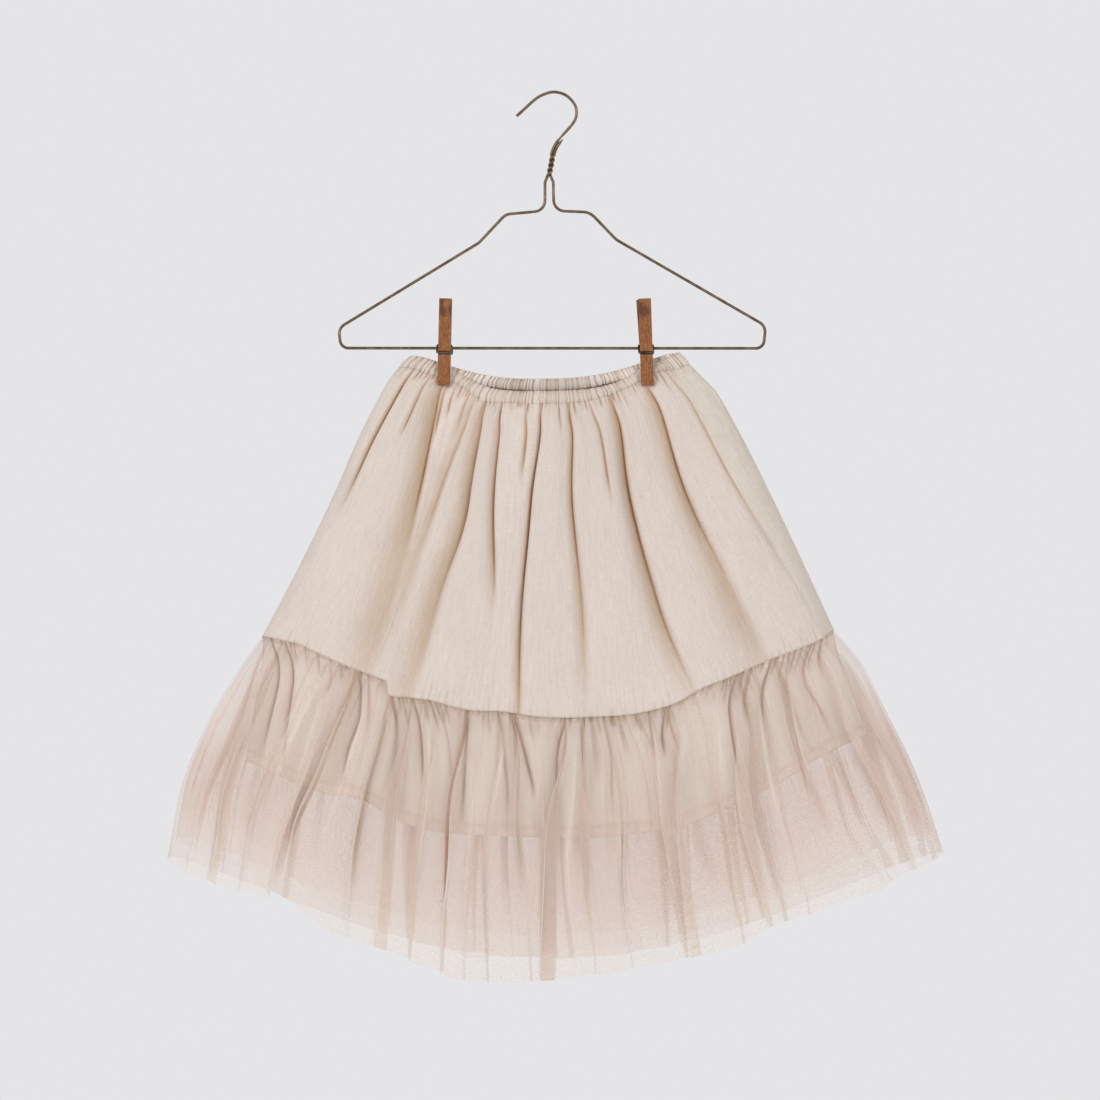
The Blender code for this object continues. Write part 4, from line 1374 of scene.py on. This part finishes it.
@dataclass
class LiningTier:
    """The short lining tier behind the nets, gathered into the seam, with its double hem.

    Its ramps are shares of its length, counted down from the seam, and shadows holds
    the strength and the ramp of each band of shade below it.
    """

    body: LinenBody
    finish: LinenFinish
    columns: int = 620
    rows: int = 36
    hem_rows: int = 6
    row_crowd: float = 1.2
    length: float = 104.0
    hem: float = 8.5
    circumference: float = 1060.0
    top_inset: float = 3.2
    behind: float = 1.1
    hang_back: float = 5.5
    fold_share: float = 0.85
    hem_inset: float = 0.9
    hem_out: float = 0.25
    waves: tuple[Wobble, ...] = (Wobble(13.0, 0.4, 0.8, 51), Wobble(29.0, 1.0, 0.4, 52))
    freed: Ramp = (0.0, 0.20)
    seam_rise: Ramp = (0.0, 0.70)
    hem_rise: Ramp = (0.3, 1.0)
    slide_share: float = 0.5
    crease_power: float = 1.6
    # Strengths of painted shade on fold flanks and in creases; the hem band's tone is partly the double
    # hem's own, partly painted light; stitch_tint is the hem's stitching
    flank_shade: float = 0.42
    crease_shade: float = 0.35
    shadows: tuple[tuple[float, Ramp], ...] = ((0.50, (0.02, 0.05)), (0.15, (0.05, 0.14)))
    stitch_tint: float = 0.3
    stitch_line: float = 0.008
    hem_tone_and_light: float = 0.95
    hem_calm: float = 0.5
    end_power: int = 30

    def build(self) -> list[bpy.types.Object]:
        """Make the two panels."""
        material = self.finish.material()
        return [self.panel(side).build(material) for side in Side]

    def panel(self, side: Side) -> Cloth:
        """Work out one panel's grid, with the hem turned up behind it.

        Args:
            side: Front or back.

        Returns:
            The cloth.
        """
        hem_top = 1 - self.hem / self.length
        above_hem = hem_top * np.linspace(0, 1, self.rows)[:-1] ** self.row_crowd
        shares = np.concatenate([above_hem, np.linspace(hem_top, 1, self.hem_rows), [1.0, 1.0],
                                 np.linspace(1, hem_top, 4)[1:]])
        inset = np.zeros(len(shares))
        inset[-5:] = self.hem_inset * np.array([0.5, 1, 1, 1, 1])
        form = HungForm(LINING_LEVELS, shares, side, inset)
        folds = FoldSet(NET_FOLDS[side], NET_SETTLE, form, self.columns)
        across, arcs, down = folds.across, folds.arcs, folds.down
        shape = folds.shape()
        window = folds.window(self.end_power)
        freed = smooth_step(*self.freed, down)
        in_hem = down > hem_top - 1e-6
        creases = [folds.creased(gather, self.length) for gather in SEAM_GATHERS]
        height = form.crest * (self.fold_share - shape.valley) + folds.arches() - self.hang_back
        height = height + sum(wave.over(folds) for wave in self.waves)
        sewn = self.body.foot_out(side, folds)[None, :] + self.top_inset - self.behind
        out = between(sewn, height * window, freed) + self.hem_out * in_hem
        for gather, crease in zip(SEAM_GATHERS, creases):
            out = out - gather.depth * crease * window
        rise = lift(SEAM_EDGE, side, across) * (1 - smooth_step(*self.seam_rise, down))
        rise = rise + lift(LINING_EDGE, side, across) * smooth_step(*self.hem_rise, down)
        moved = np.clip(arcs + self.slide_share * shape.slide * window * freed, 0, form.lengths())
        points = form.place(moved, out, rise)
        # Painted shade in the folds, on their flanks, round the gathers and in bands below the seam; the lee
        # mark gives the hem band its tone, partly the double hem's own and partly painted light
        crease = np.maximum.reduce(creases)
        shaded = sum(share * (1 - smooth_step(*ramp, down)) for share, ramp in self.shadows)
        tinted = np.maximum(self.flank_shade * shape.flank, self.crease_shade * crease)
        free = 1 - self.hem_calm * in_hem
        marks = {
            "fold": np.maximum(shape.line, np.clip(crease, 0, 1) ** self.crease_power) * free,
            "flank": np.maximum(tinted, shaded) * free,
            "seam": self.stitch_tint * np.exp(-((down - hem_top) / self.stitch_line) ** 2) + 0 * arcs,
            "lee": self.hem_tone_and_light * in_hem + 0 * arcs,
        }
        return Cloth("lining_tier", "lining", "lining", side, [f"linen_panel_{side.value}"], points,
                     self.circumference / 2, self.length, evenly(points, len(shares) // 2),
                     np.linspace(0, 1, len(shares)), marks, turned=2 * self.hem)


@dataclass
class NetFlounce:
    """One layer of net, gathered into the seam, that falls in lapped, uneven folds.

    hem_cover is how much its hem hides beyond the rest of it, or less where below 0.
    Its ramps are shares of the outer net's length, counted down from the seam, but hem
    and jagged are shares of its own, steep is of a right angle, and sides of its width.
    """

    name: str
    node: str
    slot: str
    body: LinenBody
    finish: NetFinish
    seed: int
    reach: float
    inset: tuple[float, float]
    behind: float
    lap_share: float
    hem_cover: float
    columns: int = 1180
    rows: int = 56
    length: float = 212.0
    circumference: float = 2000.0
    row_crowd: float = 1.2
    fold_share: float = 0.85
    freed: Ramp = (0.0, 0.12)
    lapped: Ramp = (0.0, 0.25)
    seam_rise: Ramp = (0.0, 0.42)
    hem_rise: Ramp = (0.45, 1.0)
    jagged: Ramp = (0.90, 1.0)
    jag: float = 0.9
    jags: float = 60.0
    hem: Ramp = (0.80, 1.0)
    # Strengths of painted shade in ruffles, creases and fold flanks; steep, edge_shown and glint place the
    # painted highlights on turned edges
    ruffle_shade: float = 0.20
    crease_shade: float = 0.75
    crease_power: float = 1.8
    flank_shade: float = 0.15
    steep: Ramp = (0.66, 0.97)
    edge_shown: Ramp = (0.04, 0.20)
    glint: float = 0.9
    lined: Ramp = (0.36, 0.56)
    lined_cover: float = 0.56
    sides: Ramp = (0.72, 0.94)
    side_cover: float = 0.80
    end_power: int = 40
    crest_base: float = 0.6
    crest_full: float = 30.0
    fold_left: float = 0.55
    hem_fold_left: float = 0.15
    hem_edge_left: float = 0.2
    wander_waves: float = 0.45
    drift: float = 0.18
    drift_waves: tuple[float, float] = (0.3, 2.2)
    chance_waves: tuple[float, float] = (0.7, 0.8)
    weakest: float = 0.25
    begun: Ramp = (0.0, 0.03)
    lean_waves: float = 0.35
    lean_firm: float = 6.0

    def ruffles(self) -> tuple[Ruffle, ...]:
        """The small folds between the named ones, from the seam's gathers to the hem.

        Returns:
            The families of folds.
        """
        #            count  lap   height start full  fade  end   wander seed
        return (
            Ruffle(46, 0.20, 0.70, 0.00, 0.16, 0.45, 0.95, 0.80, self.seed),
            Ruffle(24, 0.26, 1.30, 0.05, 0.40, 0.90, 1.50, 1.10, 112),
            Ruffle(9, 0.10, 2.20, 0.10, 0.60, 1.50, 1.60, 0.90, 113),
        )

    def build(self) -> list[bpy.types.Object]:
        """Make the front and back of the layer."""
        material = self.finish.material()
        return [self.panel(side).build(material) for side in Side]

    def panel(self, side: Side) -> Cloth:
        """Work out one half's grid.

        Args:
            side: Front or back.

        Returns:
            The cloth.
        """
        shares = np.linspace(0, 1, self.rows) ** self.row_crowd * self.reach
        form = HungForm(NET_LEVELS, shares, side, between(*self.inset, shares))
        folds = FoldSet(NET_FOLDS[side], NET_SETTLE, form, self.columns)
        across, arcs, down = folds.across, folds.arcs, folds.down
        shape = folds.shape()
        window = folds.window(self.end_power)
        even = np.linspace(0, 1, self.columns)
        cloth = np.repeat(((across[:1] + 1) / 2 + even) / 2, self.rows, 0)
        sewn = self.body.foot_out(side, folds)[None, :] + self.inset[0] - self.behind
        height = form.crest * (self.fold_share - shape.valley) + folds.arches()
        height = between(sewn, height, smooth_step(*self.freed, down))
        families = (*SEAM_GATHERS, NET_LINES)
        creases = [folds.creased(family, self.length) for family in families]
        for family, crease in zip(families, creases):
            height = height - family.depth * crease
        slide = shape.slide * self.lap_share * smooth_step(*self.lapped, down)
        valley = 0 * arcs
        for ruffle in self.ruffles():
            strength, wave, lean = self.wave(ruffle, cloth, down)
            slide = slide - ruffle.lap * form.lengths() / ruffle.count * strength * wave
            tall = ruffle.height * strength * lean * wave
            height = height - tall * (self.crest_base + form.crest / self.crest_full)
            valley = np.maximum(valley, self.ruffle_shade * (strength * np.clip(lean * wave, 0, 1)) ** 2)
        to_hem = down / self.reach
        rise = lift(SEAM_EDGE, side, across) * (1 - smooth_step(*self.seam_rise, down))
        rise = rise + lift(NET_EDGE, side, across) * smooth_step(*self.hem_rise, down)
        jags = self.jag * ripple(cloth * self.jags, self.seed + 9)
        rise = rise + jags * smooth_step(*self.jagged, to_hem)
        moved = np.clip(arcs + slide * window, 0, form.lengths())
        out = height * window
        points = form.place(moved, out, rise)
        climb = np.gradient(out, axis=1)
        turned = np.abs(climb) / np.maximum(np.hypot(np.gradient(moved, axis=1), climb), 1e-6)
        hem = smooth_step(*self.hem, to_hem)
        # Painted shade in the folds, ruffles and creases; the net also reads it as denser cover
        crease = self.crease_shade * np.maximum.reduce(creases) ** self.crease_power
        deep = np.maximum.reduce([shape.line, self.flank_shade * shape.flank, valley, crease])
        # Painted highlights on turned edges and along glint lines; the net also reads them as denser cover
        bright = np.maximum(smooth_step(*self.steep, turned),
                            self.glint * folds.creased(NET_GLINTS, self.length))
        cover = between(self.lined_cover, 1, smooth_step(*self.lined, down)) + self.hem_cover * hem
        marks = {
            "fold": np.clip(deep, 0, 1) * between(1, self.fold_left, down)
            * between(1, self.hem_fold_left, hem),
            "edge": bright * smooth_step(*self.edge_shown, down) * between(1, self.hem_edge_left, hem),
            "cover": cover * between(1, self.side_cover, smooth_step(*self.sides, np.abs(across))),
        }
        return Cloth(self.name, self.node, self.slot, side, [f"linen_panel_{side.value}"], points,
                     self.circumference / 2, self.length * self.reach, evenly(points, self.rows // 2),
                     shares / self.reach, marks)

    def wave(self, ruffle: Ruffle, cloth: np.ndarray,
             down: np.ndarray) -> tuple[np.ndarray, np.ndarray, np.ndarray]:
        """Work out one family of small folds.

        Args:
            ruffle: The family.
            cloth: How far along the panel each point is, from 0 to 1.
            down: How far down the layer it is.

        Returns:
            How strong the folds are, their wave, and which way they lean, 1 or -1.
        """
        along = ruffle.count * cloth
        phase = along + ruffle.wander * ripple(along * self.wander_waves, ruffle.seed)
        drifted = along * self.drift_waves[0] + self.drift_waves[1] * down
        phase = phase + self.drift * ripple(drifted, ruffle.seed + 20)
        opened = smooth_step(ruffle.start, ruffle.full, down)
        opened = opened * (1 - smooth_step(ruffle.fade, ruffle.end, down))
        chanced = along * self.chance_waves[0] + self.chance_waves[1] * down
        chance = 0.5 + 0.5 * ripple(chanced, ruffle.seed + 40)
        strength = opened * (self.weakest + chance) * smooth_step(*self.begun, down)
        lean = np.tanh(self.lean_firm * ripple(along * self.lean_waves, ruffle.seed + 60))
        return strength, np.sin(2 * math.pi * phase), lean


@dataclass
class WireRun:
    """A round wire along a line of points."""

    name: str
    points: Sequence[tuple[float, float, float]]
    diameter: float
    thin: Optional[np.ndarray] = None
    sides: int = 4
    merge: float = 0.02
    smooth_angle: float = 50.0

    def build(self, material: bpy.types.Material, node: str, slot: str) -> bpy.types.Object:
        """Make the wire as a bevelled curve and turn it into a mesh.

        Args:
            material: The wire's finish.
            node: The CAD node that it replaces.
            slot: Its slot.

        Returns:
            The piece.
        """
        curve = bpy.data.curves.new(self.name, "CURVE")
        curve.dimensions = "3D"
        curve.bevel_depth = self.diameter / 2 * MM
        curve.bevel_resolution = self.sides
        curve.use_fill_caps = True
        spline = curve.splines.new("POLY")
        spline.points.add(len(self.points) - 1)
        flat = np.ones((len(self.points), 4))
        flat[:, :3] = np.array(self.points) * MM
        spline.points.foreach_set("co", flat.ravel())
        if self.thin is not None:
            spline.points.foreach_set("radius", self.thin)
        take_up(bpy.data.objects.new(self.name, curve))
        bpy.ops.object.convert(target="MESH")
        close_up(self.merge * MM)
        bpy.ops.object.shade_smooth_by_angle(angle=math.radians(self.smooth_angle))
        piece = bpy.context.object
        hand_over(piece, material, node, slot)
        return piece


@dataclass
class WireHanger:
    """The hanger: one wire from the hook's tip, round the frame and back up the twisted neck.

    Each bend has its corner and its radius. The tail lies along the hook's stem from
    the knot tail_knot on, and its tip tapers over tail_end.
    """

    finish: MetalFinish
    diameter: float = 2.5
    tail_end: float = 5.0
    tip_share: float = 0.35
    half_turns: int = 4
    curve_steps: int = 7
    arc_steps: int = 8
    turn_steps: int = 10
    twist_top: tuple[float, float] = (0.4, -51.5)
    twist_foot: tuple[float, float] = (-2.8, -69.5)
    tail_knot: int = 9
    hook: tuple[tuple[float, float], ...] = (
        (-30.4, -19.0), (-27.4, -16.5), (-14.5, -4.9), (-6.0, -0.3), (1.9, 1.25), (11.3, -1.5),
        (18.2, -8.4), (20.3, -15.6), (18.0, -24.2), (6.8, -37.2), (2.6, -42.6), (0.2, -47.4), (-0.9, -51.2),
    )
    bends: tuple[tuple[float, float, float], ...] = (
        (-6.3, -74.2, 4.0), (-6.3, -99.0, 9.5), (-39.5, -102.0, 11.0), (-62.0, -126.0, 16.0),
        (-180.5, -198.0, 9.0), (-178.5, -214.9, 7.0), (178.0, -215.1, 7.0), (180.0, -196.2, 9.0),
        (54.0, -123.5, 16.0), (31.5, -100.2, 14.0), (1.2, -99.0, 9.5), (0.7, -74.2, 4.0),
    )

    def build(self) -> bpy.types.Object:
        """Make the hanger.

        Returns:
            The piece.
        """
        hook = self.hook_line()
        tail = []
        start = self.tail_knot * self.curve_steps
        for here, ahead in zip(hook[start:-1], hook[start + 1:]):
            along = (ahead - here) / np.linalg.norm(ahead - here)
            tail.append(here + self.diameter * np.array([-along[1], along[0]]))
        points = [*self.upright(hook[:-1]), *self.strand(math.pi)[::-1], *self.upright(self.frame_line()),
                  *self.strand(0.0), *self.upright(tail[::-1])]
        tip = np.linalg.norm(np.array(points) - np.array(points[-1]), axis=1)
        thin = self.tip_share + (1 - self.tip_share) * smooth_step(0.0, self.tail_end, tip)
        wire = WireRun("wire_hanger", points, self.diameter, thin)
        return wire.build(self.finish.material(), "hanger", "bronze_wire")

    @staticmethod
    def upright(line: Sequence[np.ndarray]) -> list[tuple[float, float, float]]:
        """Stand a line of x and z places in the hanger's plane."""
        return [(x, 0.0, z) for x, z in line]

    def hook_line(self) -> list[np.ndarray]:
        """Points of a smooth curve through the hook's knots.

        Returns:
            The points.
        """
        places = [np.array(knot, dtype=float) for knot in self.hook]
        padded = [2 * places[0] - places[1]] + places + [2 * places[-1] - places[-2]]
        points = []
        for index in range(1, len(padded) - 2):
            before, start, end, after = padded[index - 1:index + 3]
            for t in np.arange(self.curve_steps) / self.curve_steps:
                points.append(0.5 * (2 * start + (end - before) * t
                                     + (2 * before - 5 * start + 4 * end - after) * t ** 2
                                     + (3 * start - before - 3 * end + after) * t ** 3))
        points.append(places[-1])
        return points

    def strand(self, turn_start: float) -> list[tuple[float, float, float]]:
        """One strand of the neck's twist, from its foot up.

        Args:
            turn_start: Angle of the strand at the foot.

        Returns:
            The points.
        """
        offset = self.diameter / 2
        foot, top = np.array(self.twist_foot), np.array(self.twist_top)
        axis = (top - foot) / np.linalg.norm(top - foot)
        sideways = np.array([axis[1], -axis[0]])
        points = []
        for share in np.linspace(0, 1, self.half_turns * self.turn_steps + 1):
            turn = turn_start + math.pi * self.half_turns * share
            place = foot + (top - foot) * share + sideways * offset * math.cos(turn)
            points.append((place[0], offset * math.sin(turn), place[1]))
        return points

    def frame_line(self) -> list[np.ndarray]:
        """Points of the frame: straight runs joined by arcs of the bends' radii.

        Returns:
            The points.
        """
        foot = np.array(self.twist_foot)
        places = [foot, *(np.array(bend[:2]) for bend in self.bends), foot]
        points = []
        for before, corner, after, bend in zip(places, places[1:], places[2:], self.bends):
            back = (before - corner) / np.linalg.norm(before - corner)
            on = (after - corner) / np.linalg.norm(after - corner)
            half_angle = math.acos(float(np.clip(back @ on, -1, 1))) / 2
            reach = bend[2] / math.tan(half_angle)
            middle = corner + (back + on) / np.linalg.norm(back + on) * bend[2] / math.sin(half_angle)
            first, last = corner + back * reach - middle, corner + on * reach - middle
            sweep = math.pi - 2 * half_angle
            for t in np.linspace(0, 1, self.arc_steps + 1):
                points.append(middle + (math.sin((1 - t) * sweep) * first
                                        + math.sin(t * sweep) * last) / math.sin(sweep))
        return points


@dataclass
class ClothesPeg:
    """A spring peg: two worn wooden levers and the spring that is threaded on the bar."""

    name: str
    tilt: float
    wood: bpy.types.Material
    steel: bpy.types.Material
    bar_height: float = -215.7
    width: float = 10.6
    gap: float = 0.3
    spring_wire: float = 1.5
    coil_radius: float = 3.25
    coil_turns: int = 5
    turn_steps: int = 20
    cross_out: float = 8.5
    cross_height: float = -3.6
    cross_inset: float = 1.0
    cross_bend: tuple[tuple[float, float], ...] = ((0.9, 0.0), (0.3, 0.15), (0.0, 0.8))
    worn_edge: float = 0.45
    worn_segments: int = 3
    merge: float = 0.01
    flat_angle: float = 3.0
    smooth_angle: float = 35.0
    edge_angle: float = 40.0

    def build(self) -> list[bpy.types.Object]:
        """Make the peg's two levers and its spring."""
        return [self.lever("front"), self.lever("back"), self.spring()]

    def lever(self, side: str) -> bpy.types.Object:
        """Round off the edges of a copy of the lever.

        Args:
            side: Which lever, front or back.

        Returns:
            The piece.
        """
        node = f"{self.name}_lever_{side}"
        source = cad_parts[node]
        piece = bpy.data.objects.new(f"{self.name}_wood_{side}", source.data.copy())
        take_up(piece)
        piece.matrix_world = source.matrix_world
        bpy.ops.object.transform_apply(location=True, rotation=True, scale=True)
        close_up(self.merge * MM, self.flat_angle)
        bevel = piece.modifiers.new("worn edges", "BEVEL")
        bevel.width = self.worn_edge * MM
        bevel.segments = self.worn_segments
        bevel.limit_method = "ANGLE"
        bevel.angle_limit = math.radians(self.edge_angle)
        bpy.ops.object.modifier_apply(modifier=bevel.name)
        bpy.ops.object.shade_smooth_by_angle(angle=math.radians(self.smooth_angle))
        hand_over(piece, self.wood, node, "stained_wood")
        return piece

    def spring(self) -> bpy.types.Object:
        """Wind the spring: front cross wire, leg, coil, leg and back cross wire.

        Returns:
            The piece.
        """
        end = self.width / 2 + self.gap + self.spring_wire / 2
        far = self.width / 2 - self.cross_inset
        out, high = -self.cross_out, self.cross_height
        touch = math.atan2(high, out) % (2 * math.pi) - math.acos(self.coil_radius / math.hypot(out, high))
        total = 2 * touch - math.pi + 2 * math.pi * self.coil_turns
        front = [(far, out, high)]
        front += [(-end + short, out + bent, high + bent) for short, bent in self.cross_bend]
        line = list(front)
        for share in np.linspace(0, 1, self.coil_turns * self.turn_steps):
            angle = touch - total * share
            line.append((-end + 2 * end * share, self.coil_radius * math.cos(angle),
                         self.coil_radius * math.sin(angle)))
        line += [(-x, -y, z) for x, y, z in front[::-1]]
        cos, sin = math.cos(math.radians(self.tilt)), math.sin(math.radians(self.tilt))
        middle = PEG_PLACES[self.name]
        points = [(middle + x * cos + z * sin, y, self.bar_height - x * sin + z * cos) for x, y, z in line]
        wire = WireRun(f"{self.name}_coil", points, self.spring_wire, sides=3)
        return wire.build(self.steel, f"{self.name}_spring", "spring_steel")


@dataclass(frozen=True)
class Softbox:
    """A soft square light: its place and size in metres, and its power in watts."""

    name: str
    place: tuple[float, float, float]
    size: float
    power: float


@dataclass
class Studio:
    """A plain pale floor, soft lights and a camera at the height of the skirt's middle.

    Its lengths are metres. net_layers is how many layers of net a ray may pass.
    """

    middle: tuple[float, float] = (-0.0021, -0.3853)
    distance: float = 3.0
    frame_width: float = 0.9284
    sensor: float = 36.0
    net_layers: int = 48
    backdrop: Tint = (229, 229, 231)
    ambient_colour: Tint = (1.0, 0.99, 0.985)
    ambient: float = 0.58
    lights: tuple[Softbox, ...] = (
        Softbox("key_light", (-2.3, -2.2, 0.7), 1.6, 38.5),
        Softbox("fill_light", (2.2, -2.6, 0.2), 1.8, 30.5),
        Softbox("back_light", (0.9, 2.6, 0.5), 1.8, 24.0),
    )
    floor_height: float = -1.12
    floor_radius: float = 1.5
    floor_sides: int = 96
    floor_grain: float = 40.0
    floor_colours: tuple[Tint, Tint] = ((0.86, 0.86, 0.865), (0.9, 0.9, 0.905))

    def build(self) -> None:
        """Set up the camera, the lights, the surroundings and the floor."""
        scene = bpy.context.scene
        camera_data = bpy.data.cameras.new("camera")
        camera_data.sensor_width = self.sensor
        camera_data.lens = self.sensor * self.distance / self.frame_width
        camera = bpy.data.objects.new("camera", camera_data)
        camera.location = (self.middle[0], -self.distance, self.middle[1])
        camera.rotation_euler = (math.pi / 2, 0.0, 0.0)
        bpy.context.collection.objects.link(camera)
        scene.camera = camera
        scene.view_settings.view_transform = "Standard"
        scene.view_settings.look = "None"
        scene.cycles.transparent_max_bounces = self.net_layers
        scene.world = self.surroundings()
        for light in self.lights:
            self.hang(light)
        self.floor()

    def surroundings(self) -> bpy.types.World:
        """Light the scene evenly and show the backdrop's colour behind it.

        Returns:
            The world.
        """
        world = bpy.data.worlds.new("pale_surroundings")
        world.use_nodes = True
        tree = world.node_tree
        lit = tree.nodes["Background"]
        lit.inputs["Color"].default_value = (*self.ambient_colour, 1.0)
        lit.inputs["Strength"].default_value = self.ambient
        seen = tree.nodes.new("ShaderNodeBackground")
        seen.inputs["Color"].default_value = (*linear(*self.backdrop), 1.0)
        mix = tree.nodes.new("ShaderNodeMixShader")
        ray = tree.nodes.new("ShaderNodeLightPath")
        tree.links.new(ray.outputs["Is Camera Ray"], mix.inputs[0])
        tree.links.new(lit.outputs[0], mix.inputs[1])
        tree.links.new(seen.outputs[0], mix.inputs[2])
        tree.links.new(mix.outputs[0], tree.nodes["World Output"].inputs["Surface"])
        return world

    def hang(self, box: Softbox) -> None:
        """Hang a soft light so that it faces the skirt.

        Args:
            box: The light.
        """
        data = bpy.data.lights.new(box.name, "AREA")
        data.size = box.size
        data.energy = box.power
        light = bpy.data.objects.new(box.name, data)
        aim = np.array([self.middle[0], 0.0, self.middle[1]]) - np.array(box.place)
        light.location = box.place
        light.rotation_euler = (math.atan2(math.hypot(aim[0], aim[1]), -aim[2]), 0.0,
                                math.atan2(-aim[0], aim[1]))
        bpy.context.collection.objects.link(light)

    def floor(self) -> None:
        """Lay a round, pale, matt floor below the skirt."""
        bpy.ops.object.select_all(action="DESELECT")
        bpy.ops.mesh.primitive_circle_add(vertices=self.floor_sides, radius=self.floor_radius,
                                          fill_type="NGON", location=(0.0, 0.0, self.floor_height))
        floor = bpy.context.object
        floor.name = "pale_floor"
        bpy.ops.object.transform_apply(location=True, rotation=True, scale=True)
        recipe = Recipe("pale_floor")
        grain = recipe.noise(recipe.place(*[self.floor_grain] * 3), 4.0)
        recipe.set(Base_Color=recipe.blend(grain, *self.floor_colours), Roughness=0.8)
        floor.data.materials.append(recipe.material)


def finishes() -> dict[str, Union[LinenFinish, NetFinish, MetalFinish, WoodFinish]]:
    """Choose the colours of every cloth, the wires and the wood.

    Returns:
        The finishes by name.
    """
    made = (
        # Each cloth's second colour and its flank colour are painted shade in folds, and its third is the
        # stitching; each net's second colour is painted shade in folds and its third a painted highlight.
        LinenFinish("oatmeal_linen", (224, 211, 202), (184, 134, 86), (182, 154, 132),
                    flank=(192, 165, 138)),
        LinenFinish("casing_linen", (226, 213, 203), (160, 124, 90), (196, 174, 156)),
        # A lighter copy of the casing linen, for the back half of the casing: painted light
        LinenFinish("painted_light_casing_linen", (242, 232, 224), (158, 122, 90), (205, 188, 174),
                    flank=(210, 190, 170)),
        LinenFinish("lining_cotton", (236, 228, 220), (154, 110, 70), (186, 160, 140),
                    flank=(198, 170, 142), lee=(240, 227, 216), slub=0.08),
        NetFinish("ivory_net", (233, 218, 206), (178, 128, 76), (250, 243, 234), 0.235, 0.20),
        NetFinish("blush_net", (233, 209, 197), (178, 128, 82), (250, 239, 231), 0.355, 0.36),
        MetalFinish("bronze_wire", (136, 116, 92), (104, 86, 64), 0.75, 0.34),
        MetalFinish("spring_steel", (120, 116, 110), (52, 48, 44), 0.95, 0.22),
        WoodFinish(),
    )
    return {finish.name: finish for finish in made}


def main() -> None:
    """Build the skirt, its hanger and pegs, and report each piece."""
    logging.basicConfig(level=logging.INFO, format="%(message)s")
    Studio().build()
    looks = finishes()
    gathers = Gathers()
    # The back half of the casing gets a lighter, painted-light copy of the front's linen
    casings = {Side.FRONT: looks["casing_linen"], Side.BACK: looks["painted_light_casing_linen"]}
    body = LinenBody(gathers, looks["oatmeal_linen"])
    layers = (
        Waistband(gathers, casings), body, LiningTier(body, looks["lining_cotton"]),
        NetFlounce("inner_net", "flounce_inner", "blush_net", body, looks["blush_net"], seed=70,
                   reach=0.909, inset=(1.6, 4.6), behind=0.7, lap_share=0.85, hem_cover=-0.5),
        NetFlounce("outer_net", "flounce_outer", "ivory_net", body, looks["ivory_net"], seed=110,
                   reach=1.0, inset=(0.0, 0.0), behind=0.3, lap_share=1.0, hem_cover=0.60),
    )
    made = [piece for layer in layers for piece in layer.build()]
    made.append(WireHanger(looks["bronze_wire"]).build())
    wood, steel = looks["stained_wood"].material(), looks["spring_steel"].material()
    for name, tilt in PEG_TILTS.items():
        made += ClothesPeg(name, tilt, wood, steel).build()
    for piece in made:
        LOG.info("%s: %d faces", piece.name, len(piece.data.polygons))


if __name__ == "__main__":
    main()
